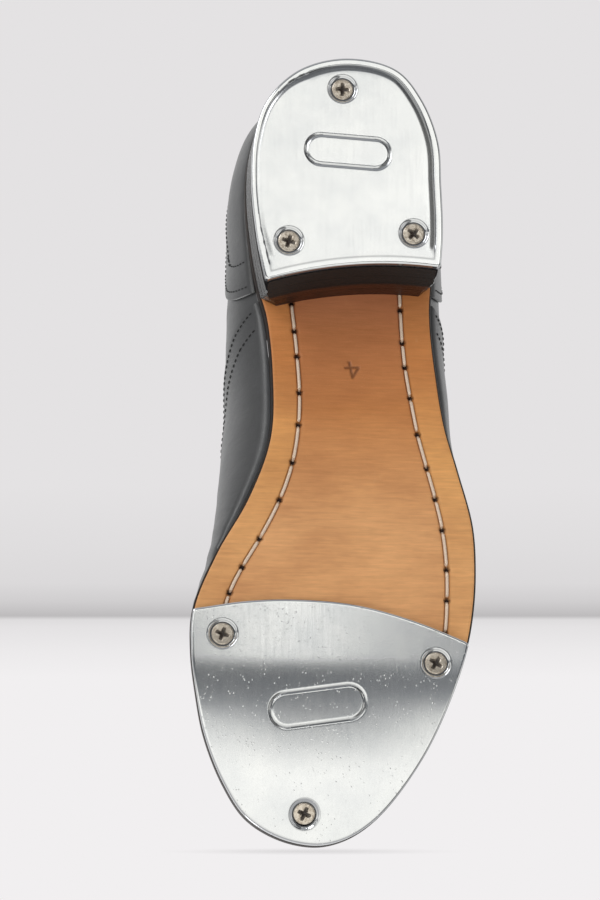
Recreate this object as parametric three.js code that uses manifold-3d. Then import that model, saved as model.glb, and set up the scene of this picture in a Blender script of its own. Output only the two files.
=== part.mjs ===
// Tap shoe for the right foot: a laced oxford with a stitched leather sole, a stacked heel and
// two screwed-on taps. Millimetres. +Z is up, the toe points to -Y, the medial (big toe) side
// is +X. The shoe stands on its taps at Z = 0.
import * as THREE from "three";
import { mergeVertices } from "three/addons/utils/BufferGeometryUtils.js";
import Module from "manifold-3d";

const wasm = await Module();
wasm.setup();

// ---------------------------------------------------------------- driving dimensions
const SOLE_LENGTH = 248; // outsole, heel back to toe tip
const BACK_Y = 122.5; // where the outsole's heel back lies on Y
const SHIFT_X = 0.1; // puts the middle of the widest part on X = 0
const GAP = 0.3; // between pieces that touch on the real shoe

const HEEL_TAP_THICK = 3;
const TOE_TAP_THICK = 2.5;
const TOP_PIECE_THICK = 6.2;
const LIFT_THICK = 4.3;
const LIFTS = 3;
const OUTSOLE_THICK = 4.5;
const FILLER_THICK = 1.6;
const INSOLE_THICK = 2.2;
const SOCK_THICK = 1.2;
const HEEL_HEIGHT = HEEL_TAP_THICK + TOP_PIECE_THICK + LIFTS * LIFT_THICK + (LIFTS + 2) * GAP;
const TREAD_Z = TOE_TAP_THICK + GAP; // underside of the outsole where the ball treads

// Underside of the outsole seen from the side: [distance from the heel back, height, slope].
const SOLE_PROFILE = [
  [66, HEEL_HEIGHT, 0],
  [118, 11.2, -0.27],
  [168, TREAD_Z, 0],
  [192, TREAD_Z, 0],
  [SOLE_LENGTH, 15, 0.36],
];

// Outsole outline seen from above: [distance from the heel back, distance towards the medial side].
const OUTSOLE_OUTLINE = [
  [1.1, -4.6], [5.2, 10.6], [15.5, 21], [28, 25.1], [42, 25.9], [58, 24.4], [71, 22.1],
  [81, 19.6], [100, 18.2], [122, 19.3], [142, 26.3], [160, 36.2], [177, 43], [190, 43.6], [203, 42], [216, 39.2],
  [230, 33.2], [240, 26], [246, 15.5], [SOLE_LENGTH, 4.2], [246.2, -4.2], [242, -11.5],
  [235, -18.6], [221, -28.2], [204, -36], [188, -41.2], [176, -43.3], [164, -44], [150, -43.4],
  [132, -39.4], [117, -36], [100, -34.2], [79, -33.1], [58, -34.5], [42, -34.1],
  [28, -33.3], [14.2, -28.2], [4.5, -20.1],
];

// The outer surface of the upper, rib by rib on each side. Each rib is a cubic curve that
// leaves the sole's edge and ends on the topline, on the edge of the lacing or, from the throat
// forwards, on the ridge of the forefoot.
// [distance from the heel back, inset at the sole, out and up at the sole, top point x / distance / z,
//  out and down at the top]
const RIBS = {
  medial: [
    [0, 1, 7, 20, -4.8, 6, 86, 5, 20],
    [13, 1, 7.5, 20, 11, 13.5, 83.5, 6, 18],
    [37, 1, 8.5, 18, 19, 36, 78, 7.5, 16],
    [60, 0.5, 9, 16, 21, 58, 75.5, 9, 15],
    [80, 0, 17, 16, 18.5, 79, 81.5, 12, 16],
    [95, 0, 21, 18, 10, 93.5, 90.5, 19, 12],
    [105, 0, 22, 18, 4.2, 103, 94.5, 23, 8],
    [125, 0, 21.5, 18, 3.8, 125, 83, 27, 6],
    [150, 0, 12, 16, 3.6, 150, 69.5, 27, 3],
    [160, 1, 6, 15, 2.6, 160, 64.4, 26, 1.5],
    [168, 1.3, 4, 15, 2.7, 168, 60.8, 27, 0.8],
    [180, 2, 2, 14, 3, 180, 56, 26, 0.4],
    [203, 3.5, 1, 13, 3.4, 199, 49.8, 23, 0],
    [225, 4.5, 0, 12, 3.6, 215, 46.2, 17, 0],
    [240, 5, 0, 11, 3.4, 225, 43.6, 14, 0],
    [SOLE_LENGTH, 5.5, 0, 10, 3.2, 229, 42.4, 12, 0],
  ],
  lateral: [
    [0, 1, 5, 20, -4.8, 6, 86, 5, 20],
    [13, 1, 5, 20, -20.6, 13.5, 83, 6, 18],
    [37, 1, 5, 18, -28.8, 36, 76, 7.5, 16],
    [60, 0.5, 7, 16, -31, 58, 72.5, 8, 15],
    [80, 0, 11, 16, -26.5, 79, 79.5, 10, 16],
    [95, 0, 12, 18, -12.5, 93.5, 90, 18, 13],
    [105, 0, 12, 18, -4.2, 103, 94.5, 25, 10],
    [125, 1, 8, 17, -3.2, 125, 83, 26, 8],
    [150, 2, 3, 14, -0.6, 150, 69.5, 29, 4],
    [160, 2, 2, 13, 2.6, 160, 64.4, 31, 2],
    [168, 2, 2, 12, 2.7, 168, 60.8, 32, 1],
    [180, 2.5, 1, 11, 3, 180, 56, 32, 0.4],
    [203, 3.5, 1, 12, 3.4, 199, 49.8, 26, 0],
    [225, 4.5, 0, 12, 3.6, 215, 46.2, 18, 0],
    [240, 5, 0, 11, 3.4, 225, 43.6, 14, 0],
    [SOLE_LENGTH, 5.5, 0, 10, 3.2, 229, 42.4, 12, 0],
  ],
};
const THROAT = 160; // from here forwards both sides meet on the ridge

// Layers of the upper, as distances outwards from that surface.
const QUARTER_LAYER = [-1.3, 0];
const OVERLAY_LAYER = [0.8, 2]; // vamp and heel counter, which lap over the quarters
const CAP_LAYER = [2.6, 3.8]; // toe cap, which laps over the vamp
const STIFFENER_LAYER = [-2.9, -1.8];
const LINING_LAYER = [-4.2, -3.4];
const TONGUE_LAYER = [-10.6, -8.6];

// Seams, as [distance from the heel back at the sole's edge, share of the way up the rib].
const VAMP_SEAM = [
  [76, 0], [80, 0.14], [86, 0.25], [97, 0.35], [112, 0.44], [128, 0.56], [143, 0.72], [154, 0.87], [168, 1],
];
const QUARTER_FRONT = [
  [84, 0], [88, 0.12], [95, 0.22], [106, 0.32], [120, 0.41], [136, 0.53], [149, 0.7], [154, 0.84], [156, 1],
];
const CAP_SEAM = [[204, 0], [205, 0.5], [206, 1]];
const COUNTER_FRONT = [[71, 0], [70, 0.2], [67, 0.38], [62, 0.5]];
const COUNTER_TOP = [[62, 0.5], [45, 0.64], [22, 0.76], [0, 0.82]];

// Heel tap and toe tap.
const TAP_INSET = 0.2; // from the sole's outline in to the heel tap's edge
const BREAST_MEDIAL = 74.6; // heel tap's front corners, and the middle of its hollow front edge
const BREAST_LATERAL = 69;
const BREAST_MIDDLE = 68.2;
const BREAST_SLOPE = 4.2; // how far the breast leans forward from the tap to the outsole
const TOE_TAP_REAR = [
  [179, 60], [177.7, 43], [175.4, 28], [174.6, 14], [175.8, -5], [180.2, -23], [187.6, -42], [196, -60],
];
const HEEL_SCREWS = [[11.5, -2.9], [61.4, 14], [58.1, -25.1]];
const TOE_SCREWS = [[185.4, 34.1], [193.5, -31], [238.2, 8.4]];
const HEAD_R = 3.5;
const SHANK_R = 1.6;
const HEEL_SCREW_LENGTH = 16;
const TOE_SCREW_LENGTH = 6.6;
const COUNTERSINK_R = 4.3;

// Lacing.
const EYELETS = [108, 118, 128, 138, 148]; // distance of each pair from the heel back
const EYELET_EDGE = 9; // from the facing's edge
const EYELET_BORE = 1.7;
const EYELET_BARREL = 2.4;
const EYELET_FLANGE = 3.5;
const LACE_R = 1.15;

// ---------------------------------------------------------------- small helpers
const lerp = THREE.MathUtils.lerp;
const at = (s, x, z) => new THREE.Vector3(x + SHIFT_X, BACK_Y - s, z);

// A geometry as a manifold solid, and back.
function solidOf(geometry) {
  const bare = geometry.index ? geometry.toNonIndexed() : geometry.clone();
  bare.deleteAttribute("normal");
  bare.deleteAttribute("uv");
  const merged = mergeVertices(bare, 1e-4);
  const mesh = new wasm.Mesh({
    numProp: 3,
    vertProperties: merged.attributes.position.array,
    triVerts: new Uint32Array(merged.index.array),
  });
  return new wasm.Manifold(mesh);
}

function geometryOf(solid) {
  const mesh = solid.getMesh();
  const geometry = new THREE.BufferGeometry();
  geometry.setAttribute("position", new THREE.BufferAttribute(new Float32Array(mesh.vertProperties), 3));
  geometry.setIndex(new THREE.BufferAttribute(new Uint32Array(mesh.triVerts), 1));
  const flat = geometry.toNonIndexed();
  flat.computeVertexNormals();
  return flat;
}

// A function through [position, value, slope] nodes, constant before the first and straight after the last.
function hermite(nodes) {
  return (s) => {
    const last = nodes[nodes.length - 1];
    if (s <= nodes[0][0]) return nodes[0][1];
    if (s >= last[0]) return last[1] + last[2] * (s - last[0]);
    const i = nodes.findIndex((n) => n[0] > s) - 1;
    const [s0, z0, m0] = nodes[i];
    const [s1, z1, m1] = nodes[i + 1];
    const h = s1 - s0;
    const u = (s - s0) / h;
    const slopes = h * u * (1 - u) * ((1 - u) * m0 - u * m1);
    return (1 + 2 * u) * (1 - u) ** 2 * z0 + u * u * (3 - 2 * u) * z1 + slopes;
  };
}

const soleBottom = hermite(SOLE_PROFILE);
const soleTop = (s) => soleBottom(s) + OUTSOLE_THICK;
const soleSlope = (s) => Math.atan(soleBottom(s + 0.5) - soleBottom(s - 0.5));

// ---------------------------------------------------------------- outlines and plates
const OUTLINE_STEPS = 400;
const outlineCurve = new THREE.CatmullRomCurve3(
  OUTSOLE_OUTLINE.map(([s, x]) => new THREE.Vector3(s, x, 0)),
  true,
  "centripetal",
);
const outlinePoints = outlineCurve.getPoints(OUTLINE_STEPS).slice(0, OUTLINE_STEPS);

// The outward direction in plan at each outline point.
const outlineNormals = outlinePoints.map((_, i) => {
  const before = outlinePoints[(i + OUTLINE_STEPS - 1) % OUTLINE_STEPS];
  const after = outlinePoints[(i + 1) % OUTLINE_STEPS];
  return new THREE.Vector3(before.y - after.y, after.x - before.x, 0).normalize();
});

// The outline moved inwards, as plan points [s, x], keeping every step-th point.
function insetOutline(inset, step = 4) {
  return outlinePoints
    .map((p, i) => [p.x - outlineNormals[i].x * inset, p.y - outlineNormals[i].y * inset])
    .filter((_, i) => i % step === 0);
}

// A vertical prism over plan points [s, x].
function prism(plan, low, high) {
  const shape = new THREE.Shape(plan.map(([s, x]) => new THREE.Vector2(x + SHIFT_X, BACK_Y - s)));
  const geometry = new THREE.ExtrudeGeometry(shape, { depth: high - low, bevelEnabled: false });
  geometry.translate(0, 0, low);
  return solidOf(geometry);
}

// A slab as wide as the shoe between two side profiles, from distance s0 to s1.
function slab(lower, upper, s0 = -20, s1 = 270, steps = 44) {
  const places = Array.from({ length: steps + 1 }, (_, i) => lerp(s0, s1, i / steps));
  const points = [
    ...places.map((s) => new THREE.Vector2(BACK_Y - s, lower(s))),
    ...places.reverse().map((s) => new THREE.Vector2(BACK_Y - s, upper(s))),
  ];
  const width = 160;
  const geometry = new THREE.ExtrudeGeometry(new THREE.Shape(points), { depth: width, bevelEnabled: false });
  geometry.translate(0, 0, -width / 2);
  const upright = [new THREE.Vector3(0, 1, 0), new THREE.Vector3(0, 0, 1), new THREE.Vector3(1, 0, 0)];
  geometry.applyMatrix4(new THREE.Matrix4().makeBasis(...upright));
  return solidOf(geometry);
}

// A sheet that follows the top of the outsole, between two heights above it.
function soleSheet(plan, low, high) {
  return prism(plan, -5, 60).intersect(
    slab(
      (s) => soleTop(s) + low,
      (s) => soleTop(s) + high,
    ),
  );
}

// Everything in front of the heel's breast, at a height above the floor.
function aheadOfBreast(height) {
  const lean = (BREAST_SLOPE * height) / HEEL_HEIGHT;
  const half = 30;
  const middle = -6.8;
  const mean = (BREAST_MEDIAL + BREAST_LATERAL) / 2;
  const edge = Array.from({ length: 13 }, (_, i) => {
    const w = lerp(-1.3, 1.3, i / 12);
    const s = mean + ((BREAST_MEDIAL - BREAST_LATERAL) / 2) * w - (mean - BREAST_MIDDLE) * (1 - w * w);
    return [s + lean, middle + half * w];
  });
  return [...edge, [280, 70], [280, -80]];
}

// A flat layer of the heel, with its breast sloping forwards as it rises.
function heelLayer(inset, low, high) {
  const body = prism(insetOutline(inset, 4), low, high);
  return body.subtract(prism(aheadOfBreast((low + high) / 2), low - 1, high + 1));
}

// ---------------------------------------------------------------- the upper's surface
// Arc length from the heel back, as a share of each half of the outline: 0 to 1 medial, 1 to 2 lateral.
const roundShare = (() => {
  const toe = outlinePoints.reduce((best, p, i) => (p.x > outlinePoints[best].x ? i : best), 0);
  const lengths = [0];
  for (let i = 1; i <= OUTLINE_STEPS; i++) {
    lengths.push(lengths[i - 1] + outlinePoints[i % OUTLINE_STEPS].distanceTo(outlinePoints[i - 1]));
  }
  const half = lengths[toe];
  const rest = lengths[OUTLINE_STEPS] - half;
  return lengths.map((l) => (l <= half ? l / half : 1 + (l - half) / rest));
})();

// Plan point and outward direction at a round share.
function edgeAt(round) {
  const r = ((round % 2) + 2) % 2;
  const i = Math.max(0, roundShare.findIndex((v) => v > r) - 1);
  const share = (r - roundShare[i]) / (roundShare[i + 1] - roundShare[i]);
  const j = (i + 1) % OUTLINE_STEPS;
  return {
    point: outlinePoints[i].clone().lerp(outlinePoints[j], share),
    out: outlineNormals[i].clone().lerp(outlineNormals[j], share).normalize(),
  };
}

// The round share where the outline is a distance s from the heel back.
function roundAt(side, s) {
  const target = Math.min(Math.max(s, 0), SOLE_LENGTH);
  let [low, high] = side === "medial" ? [0, 1] : [2, 1];
  for (let i = 0; i < 40; i++) {
    const middle = (low + high) / 2;
    if (edgeAt(middle).point.x < target) low = middle;
    else high = middle;
  }
  return (low + high) / 2;
}

const roundRow = (side, [s, ...values]) => {
  const round = s === 0 ? 0 : s === SOLE_LENGTH ? 1 : roundAt(side, s);
  return { round, values };
};
const ribTable = [
  ...RIBS.medial.map((row) => roundRow("medial", row)),
  ...RIBS.lateral.slice(1, -1).reverse().map((row) => roundRow("lateral", row)),
];

// The rib values at a round share, by a smooth periodic curve through the table.
function ribAt(round) {
  const n = ribTable.length;
  const r = ((round % 2) + 2) % 2;
  const next = ribTable.findIndex((row) => row.round > r);
  const i = (next < 0 ? n : next) - 1;
  const row = (k) => {
    const turns = Math.floor(k / n);
    const found = ribTable[k - turns * n];
    return { round: found.round + 2 * turns, values: found.values };
  };
  const [a, b, c, d] = [row(i - 1), row(i), row(i + 1), row(i + 2)];
  const h = c.round - b.round;
  const u = (r - b.round) / h;
  const slope = (p, q, w, k) => {
    const before = (q.values[k] - p.values[k]) / (q.round - p.round);
    const after = (w.values[k] - q.values[k]) / (w.round - q.round);
    return lerp(before, after, (q.round - p.round) / (w.round - p.round));
  };
  return b.values.map(
    (v, k) =>
      (1 + 2 * u) * (1 - u) ** 2 * v +
      u * u * (3 - 2 * u) * c.values[k] +
      h * u * (1 - u) ** 2 * slope(a, b, c, k) +
      h * u * u * (u - 1) * slope(b, c, d, k),
  );
}

// A point of the upper's outer surface, rise being the share of the way up the rib.
function surfacePoint(round, rise) {
  const { point, out } = edgeAt(round);
  const r = ((round % 2) + 2) % 2;
  const s = point.x;
  const [inset, out0, up0, topX, topS, topZ, out1, down1] = ribAt(r);
  const foot = new THREE.Vector3(s - out.x * inset, point.y - out.y * inset, soleTop(s) + GAP);
  const top = new THREE.Vector3(topS, topX, topZ);
  const behind = ribAt(r <= 1 ? r - 0.04 : r + 0.04);
  const onRidge = THREE.MathUtils.smoothstep(s, THROAT - 10, THROAT + 8);
  const fall = (onRidge * (behind[5] - topZ)) / Math.max(topS - behind[4], 0.1);
  const a = foot.clone().addScaledVector(out, out0).add(new THREE.Vector3(0, 0, up0));
  const b = top.clone().addScaledVector(out, out1).add(new THREE.Vector3(0, 0, -down1 - fall * out.x * out1));
  const p = new THREE.CubicBezierCurve3(foot, a, b, top).getPoint(rise);
  return at(p.x, p.y, p.z);
}

// The outward direction of the surface there.
function surfaceNormal(round, rise) {
  const step = 0.004;
  const high = Math.min(rise + step, 1);
  const low = Math.max(rise - step, 0);
  const along = surfacePoint(round + step, rise).sub(surfacePoint(round - step, rise));
  const upwards = surfacePoint(round, high).sub(surfacePoint(round, low));
  return upwards.cross(along).normalize();
}

// The same point moved outwards along the surface's normal, and kept above the sole.
function upperPoint(round, rise, offset) {
  const p = surfacePoint(round, rise).addScaledVector(surfaceNormal(round, rise), offset);
  p.z = Math.max(p.z, soleTop(BACK_Y - p.y) + GAP);
  return p;
}

// A curve of [round, rise] points from a seam's [distance, rise] points.
function seam(side, points) {
  const curve = new THREE.CatmullRomCurve3(
    points.map(([s, rise]) => new THREE.Vector3(side === "heel" ? s : roundAt(side, s), rise, 0)),
    false,
    "centripetal",
  );
  return (u) => curve.getPoint(u);
}

const line = (a, b) => (u) => new THREE.Vector3(lerp(a.x, b.x, u), lerp(a.y, b.y, u), 0);

// A closed shell over a four-sided patch of the upper, by blending its four edge curves.
function shell({ bottom, top, start, end }, [inner, outer], across, up) {
  const corner = [bottom(0), bottom(1), top(0), top(1)];
  const place = (u, v) => {
    const p = new THREE.Vector3();
    p.addScaledVector(bottom(u), 1 - v).addScaledVector(top(u), v);
    p.addScaledVector(start(v), 1 - u).addScaledVector(end(v), u);
    p.addScaledVector(corner[0], -(1 - u) * (1 - v)).addScaledVector(corner[1], -u * (1 - v));
    p.addScaledVector(corner[2], -(1 - u) * v).addScaledVector(corner[3], -u * v);
    return p;
  };
  const grid = (offset) =>
    Array.from({ length: up + 1 }, (_, j) =>
      Array.from({ length: across + 1 }, (_, i) => {
        const p = place(i / across, j / up);
        return upperPoint(p.x, Math.min(Math.max(p.y, 0), 1), offset);
      }),
    );
  return closedGrid(grid(outer), grid(inner));
}

// A closed shell over the forefoot, from a rear edge given as [distance, rise] points round to
// the toe. Columns run from the medial sole over the ridge to the lateral sole; the last row is
// the rib at the toe's tip.
function hood(rear, [inner, outer], half, rows) {
  const edge = (side, rise) => {
    const curve = seam(side, rear);
    let [low, high] = [0, 1];
    for (let i = 0; i < 30; i++) {
      const middle = (low + high) / 2;
      if (curve(middle).y < rise) low = middle;
      else high = middle;
    }
    return curve(low).x;
  };
  const column = (side, rise) => {
    const start = edge(side, rise);
    return Array.from({ length: rows + 1 }, (_, j) => surfacePoint(lerp(start, 1, j / rows), rise));
  };
  const rises = Array.from({ length: half }, (_, i) => i / half);
  const columns = [
    ...rises.map((rise) => column("medial", rise)),
    column("medial", 1),
    ...rises.reverse().map((rise) => column("lateral", rise)),
  ];
  const last = columns.length - 1;
  const normal = (i, j) => {
    const k = i === half && j === rows ? j - 1 : j;
    const across = columns[Math.min(i + 1, last)][k].clone().sub(columns[Math.max(i - 1, 0)][k]);
    const ahead = j < rows ? columns[i][j + 1] : i === half ? columns[i][rows] : columns[last - i][rows - 1];
    const along = ahead.clone().sub(columns[i][Math.max(j - 1, 0)]);
    return across.cross(along).normalize();
  };
  const grid = (offset) =>
    Array.from({ length: rows + 1 }, (_, j) =>
      columns
        .map((points, i) => {
          const p = points[j].clone().addScaledVector(normal(i, j), offset);
          p.z = Math.max(p.z, soleTop(BACK_Y - p.y) + GAP);
          return p;
        })
        .reverse(),
    );
  return closedGrid(grid(outer), grid(inner), true);
}

// A closed solid between two grids of points that face each other. A zipped last row is folded on itself.
function closedGrid(front, back, zipped = false) {
  const rows = front.length;
  const columns = front[0].length;
  const corners = [];
  const quad = (a, b, c, d) => corners.push(a, c, b, a, d, c);
  for (let j = 0; j + 1 < rows; j++) {
    for (let i = 0; i + 1 < columns; i++) {
      quad(front[j][i], front[j][i + 1], front[j + 1][i + 1], front[j + 1][i]);
      quad(back[j][i], back[j + 1][i], back[j + 1][i + 1], back[j][i + 1]);
    }
  }
  for (let i = 0; i + 1 < columns; i++) {
    quad(front[0][i], back[0][i], back[0][i + 1], front[0][i + 1]);
    if (zipped) continue;
    const end = rows - 1;
    quad(front[end][i], front[end][i + 1], back[end][i + 1], back[end][i]);
  }
  for (let j = 0; j + 1 < rows; j++) {
    quad(front[j][0], front[j + 1][0], back[j + 1][0], back[j][0]);
    const end = columns - 1;
    quad(front[j][end], back[j][end], back[j + 1][end], front[j + 1][end]);
  }
  const geometry = new THREE.BufferGeometry().setFromPoints(corners);
  return solidOf(geometry);
}

// ---------------------------------------------------------------- materials
const material = (color, roughness, metalness = 0) =>
  new THREE.MeshStandardMaterial({ color, roughness, metalness });
const blackLeather = material(0x17181a, 0.35);
const tanLeather = material(0xc58a4e, 0.55);
const liningLeather = material(0xb9a184, 0.7);
const stackedLeather = material(0x1c1512, 0.35);
const fibreBoard = material(0x9a7b55, 0.8);
const cork = material(0xa67c4e, 0.9);
const rubber = material(0x141414, 0.85);
const aluminium = material(0xd9dadb, 0.28, 1);
const nickel = material(0xb7ac98, 0.3, 1);
const steel = material(0x8d9094, 0.4, 1);
const cotton = material(0x1a1a1c, 0.8);

const shoe = new THREE.Group();

function add(name, solid, look, parent = shoe) {
  const mesh = new THREE.Mesh(geometryOf(solid), look);
  mesh.name = name;
  parent.add(mesh);
  return mesh;
}

// ---------------------------------------------------------------- screws
const COUNTERSINK_FLOOR = 0.5; // the head's top lies this far inside the tap's face

// A countersunk cross-head screw, head down at z = 0, shank upwards.
function screwSolid(length) {
  const profile = [
    [0, COUNTERSINK_FLOOR], [HEAD_R, COUNTERSINK_FLOOR], [HEAD_R, COUNTERSINK_FLOOR + 0.5], [SHANK_R, 2.3],
    [SHANK_R, length - 1.8], [0, length],
  ];
  const turned = solidOf(
    new THREE.LatheGeometry(
      profile.map(([r, z]) => new THREE.Vector2(r, z)),
      20,
    ).rotateX(Math.PI / 2),
  );
  const arm = (w, d) => solidOf(new THREE.BoxGeometry(w, d, 1.2).translate(0, 0, COUNTERSINK_FLOOR + 0.5));
  return turned.subtract(arm(3.8, 0.9)).subtract(arm(0.9, 3.8));
}

// The hole that such a screw needs: a wide countersink in the tap, then a clearance hole.
function screwHole(length) {
  const profile = [
    [0, -1], [COUNTERSINK_R, -1], [COUNTERSINK_R, COUNTERSINK_FLOOR + 0.4],
    [HEAD_R + 0.3, COUNTERSINK_FLOOR + 0.8], [SHANK_R + GAP, 2.5], [SHANK_R + GAP, length + 0.5],
    [0, length + 0.5],
  ];
  return solidOf(
    new THREE.LatheGeometry(
      profile.map(([r, z]) => new THREE.Vector2(r, z)),
      20,
    ).rotateX(Math.PI / 2),
  );
}

// Where a screw stands: on the tap's face, square to the sole there.
function screwPlace([s, x], tapThick) {
  const tilt = soleSlope(s);
  const face = at(s, x, soleBottom(s) - GAP).add(
    new THREE.Vector3(0, -Math.sin(tilt), -Math.cos(tilt)).multiplyScalar(tapThick),
  );
  return new THREE.Matrix4().makeRotationX(-tilt).setPosition(face);
}

const move = (solid, matrix) => solid.transform(matrix.elements);

// LatheGeometry turns about Y; rotateX(90 degrees) stands it on Z with its profile running upwards.
const heelScrewPlaces = HEEL_SCREWS.map(([s, x]) => new THREE.Matrix4().setPosition(at(s, x, 0)));
const toeScrewPlaces = TOE_SCREWS.map((place) => screwPlace(place, TOE_TAP_THICK));
const heelHoles = heelScrewPlaces.map((place) => move(screwHole(HEEL_SCREW_LENGTH), place));
const toeHoles = toeScrewPlaces.map((place) => move(screwHole(TOE_SCREW_LENGTH), place));
const drill = (solid, holes) => holes.reduce((left, hole) => left.subtract(hole), solid);

heelScrewPlaces.forEach((place, i) => {
  add(`heel_tap_screw_${i + 1}`, move(screwSolid(HEEL_SCREW_LENGTH), place), nickel);
});
toeScrewPlaces.forEach((place, i) => {
  add(`toe_tap_screw_${i + 1}`, move(screwSolid(TOE_SCREW_LENGTH), place), nickel);
});

// ---------------------------------------------------------------- heel and sole
let level = HEEL_TAP_THICK;
add("heel_tap", drill(heelLayer(TAP_INSET, 0, level), heelHoles), aluminium);
level += GAP;
add("heel_top_piece", drill(heelLayer(TAP_INSET + 0.3, level, level + TOP_PIECE_THICK), heelHoles), rubber);
level += TOP_PIECE_THICK + GAP;
const underSole = slab(
  () => -20,
  (s) => soleBottom(s) - GAP,
);
for (let i = 0; i < LIFTS; i++) {
  const lift = heelLayer(0.5 - 0.15 * i, level, level + LIFT_THICK).intersect(underSole);
  add(`heel_lift_${i + 1}`, drill(lift, heelHoles), stackedLeather);
  level += LIFT_THICK + GAP;
}

const outsole = soleSheet(insetOutline(0, 4), -OUTSOLE_THICK, 0);
add("outsole", drill(outsole, toeHoles), tanLeather);

// The toe tap is a plate bent to the sole, cut off at the rear by a long shallow curve.
const tapRear = new THREE.SplineCurve(TOE_TAP_REAR.map(([s, x]) => new THREE.Vector2(s, x))).getPoints(28);
const tapPlan = [...tapRear.map((p) => [p.x, p.y]), [262, -60], [262, 60]].reverse();
const tapSheet = slab(
  (s) => soleBottom(s) - GAP - TOE_TAP_THICK / Math.cos(soleSlope(s)),
  (s) => soleBottom(s) - GAP,
  150,
);
const toeTap = prism(insetOutline(0, 4), -20, 40).intersect(tapSheet).intersect(prism(tapPlan, -20, 40));
add("toe_tap", drill(toeTap, toeHoles), aluminium);

// Inside the shoe: forefoot filler and steel shank, insole board, sock lining.
const insidePlan = (inset, s0, s1) =>
  insetOutline(inset, 5).filter(([s]) => s > s0 && s < s1);
add("forefoot_filler", soleSheet(insidePlan(12, 128, 260), GAP, GAP + FILLER_THICK), cork);
const SHANK_HALF = 7;
const shankPlan = [
  [44, -9 - SHANK_HALF], [44, -3 + SHANK_HALF], [124, -5 + SHANK_HALF], [124, -11 - SHANK_HALF],
];
add("shank", soleSheet(shankPlan, GAP, GAP + FILLER_THICK - 0.2), steel);
const insoleBase = 2 * GAP + FILLER_THICK;
add("insole_board", soleSheet(insetOutline(10.5, 5), insoleBase, insoleBase + INSOLE_THICK), fibreBoard);
const sockBase = insoleBase + INSOLE_THICK + GAP;
add("sock_lining", soleSheet(insetOutline(11.3, 5), sockBase, sockBase + SOCK_THICK), liningLeather);

// ---------------------------------------------------------------- upper
const backSeam = 0.0014; // half the seam between the quarters at the heel back, as a round share

// Corner points of a patch, taken from its side curves.
const between = (start, end) => ({
  start,
  end,
  bottom: line(start(0), end(0)),
  top: line(start(1), end(1)),
});

const quarterFronts = { medial: seam("medial", QUARTER_FRONT), lateral: seam("lateral", QUARTER_FRONT) };
const heelBack = (round) => line(new THREE.Vector3(round, 0, 0), new THREE.Vector3(round, 1, 0));

// Holes through the facings for the eyelets.
const facingRise = (round) => {
  const edge = surfacePoint(round, 1);
  let rise = 1;
  while (surfacePoint(round, rise).distanceTo(edge) < EYELET_EDGE) rise -= 0.005;
  return rise;
};
function eyeletFrame(side, s) {
  const round = roundAt(side, s);
  const rise = facingRise(round);
  const centre = upperPoint(round, rise, 0);
  const normal = upperPoint(round, rise, 1).sub(centre);
  const turn = new THREE.Quaternion().setFromUnitVectors(new THREE.Vector3(0, 0, 1), normal);
  return { centre, normal, matrix: new THREE.Matrix4().compose(centre, turn, new THREE.Vector3(1, 1, 1)) };
}
const eyeletFrames = {
  medial: EYELETS.map((s) => eyeletFrame("medial", s)),
  lateral: EYELETS.map((s) => eyeletFrame("lateral", s)),
};
const holeR = EYELET_BARREL + GAP;
const eyeletHole = solidOf(new THREE.CylinderGeometry(holeR, holeR, 16, 16).rotateX(Math.PI / 2));
const eyeletHoles = (side) => eyeletFrames[side].map((frame) => move(eyeletHole, frame.matrix));
const punch = (solid, side) => drill(solid, eyeletHoles(side));

const eyeletProfile = [
  [EYELET_BORE, -4.4], [EYELET_BARREL, -4.4], [EYELET_BARREL, GAP], [EYELET_FLANGE, GAP],
  [EYELET_FLANGE - 0.4, 1], [EYELET_BORE + 0.2, 1], [EYELET_BORE, 0.6], [EYELET_BORE, -4.4],
];
const eyeletSolid = solidOf(
  new THREE.LatheGeometry(
    eyeletProfile.map(([r, z]) => new THREE.Vector2(r, z)),
    14,
  ).rotateX(Math.PI / 2),
);

for (const side of ["medial", "lateral"]) {
  const back = side === "medial" ? backSeam : 2 - backSeam;
  const ends = [heelBack(back), quarterFronts[side]];
  const patch = side === "medial" ? between(...ends) : between(...ends.reverse());
  add(`quarter_${side}`, punch(shell(patch, QUARTER_LAYER, 25, 8), side), blackLeather);
  add(`quarter_lining_${side}`, punch(shell(patch, LINING_LAYER, 22, 8), side), liningLeather);
  eyeletFrames[side].forEach(({ matrix }, i) => {
    add(`eyelet_${side}_${i + 1}`, move(eyeletSolid, matrix), cotton);
  });
}

add("vamp", hood(VAMP_SEAM, OVERLAY_LAYER, 9, 15), blackLeather);
const shifted = (points, by) => points.map(([s, rise]) => [s + by, rise]);
add("vamp_lining", hood(shifted(QUARTER_FRONT, 9), LINING_LAYER, 8, 12), liningLeather);
add("toe_cap", hood(CAP_SEAM, CAP_LAYER, 8, 9), blackLeather);
add("toe_puff", hood(shifted(CAP_SEAM, -2), STIFFENER_LAYER, 7, 8), fibreBoard);

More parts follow.
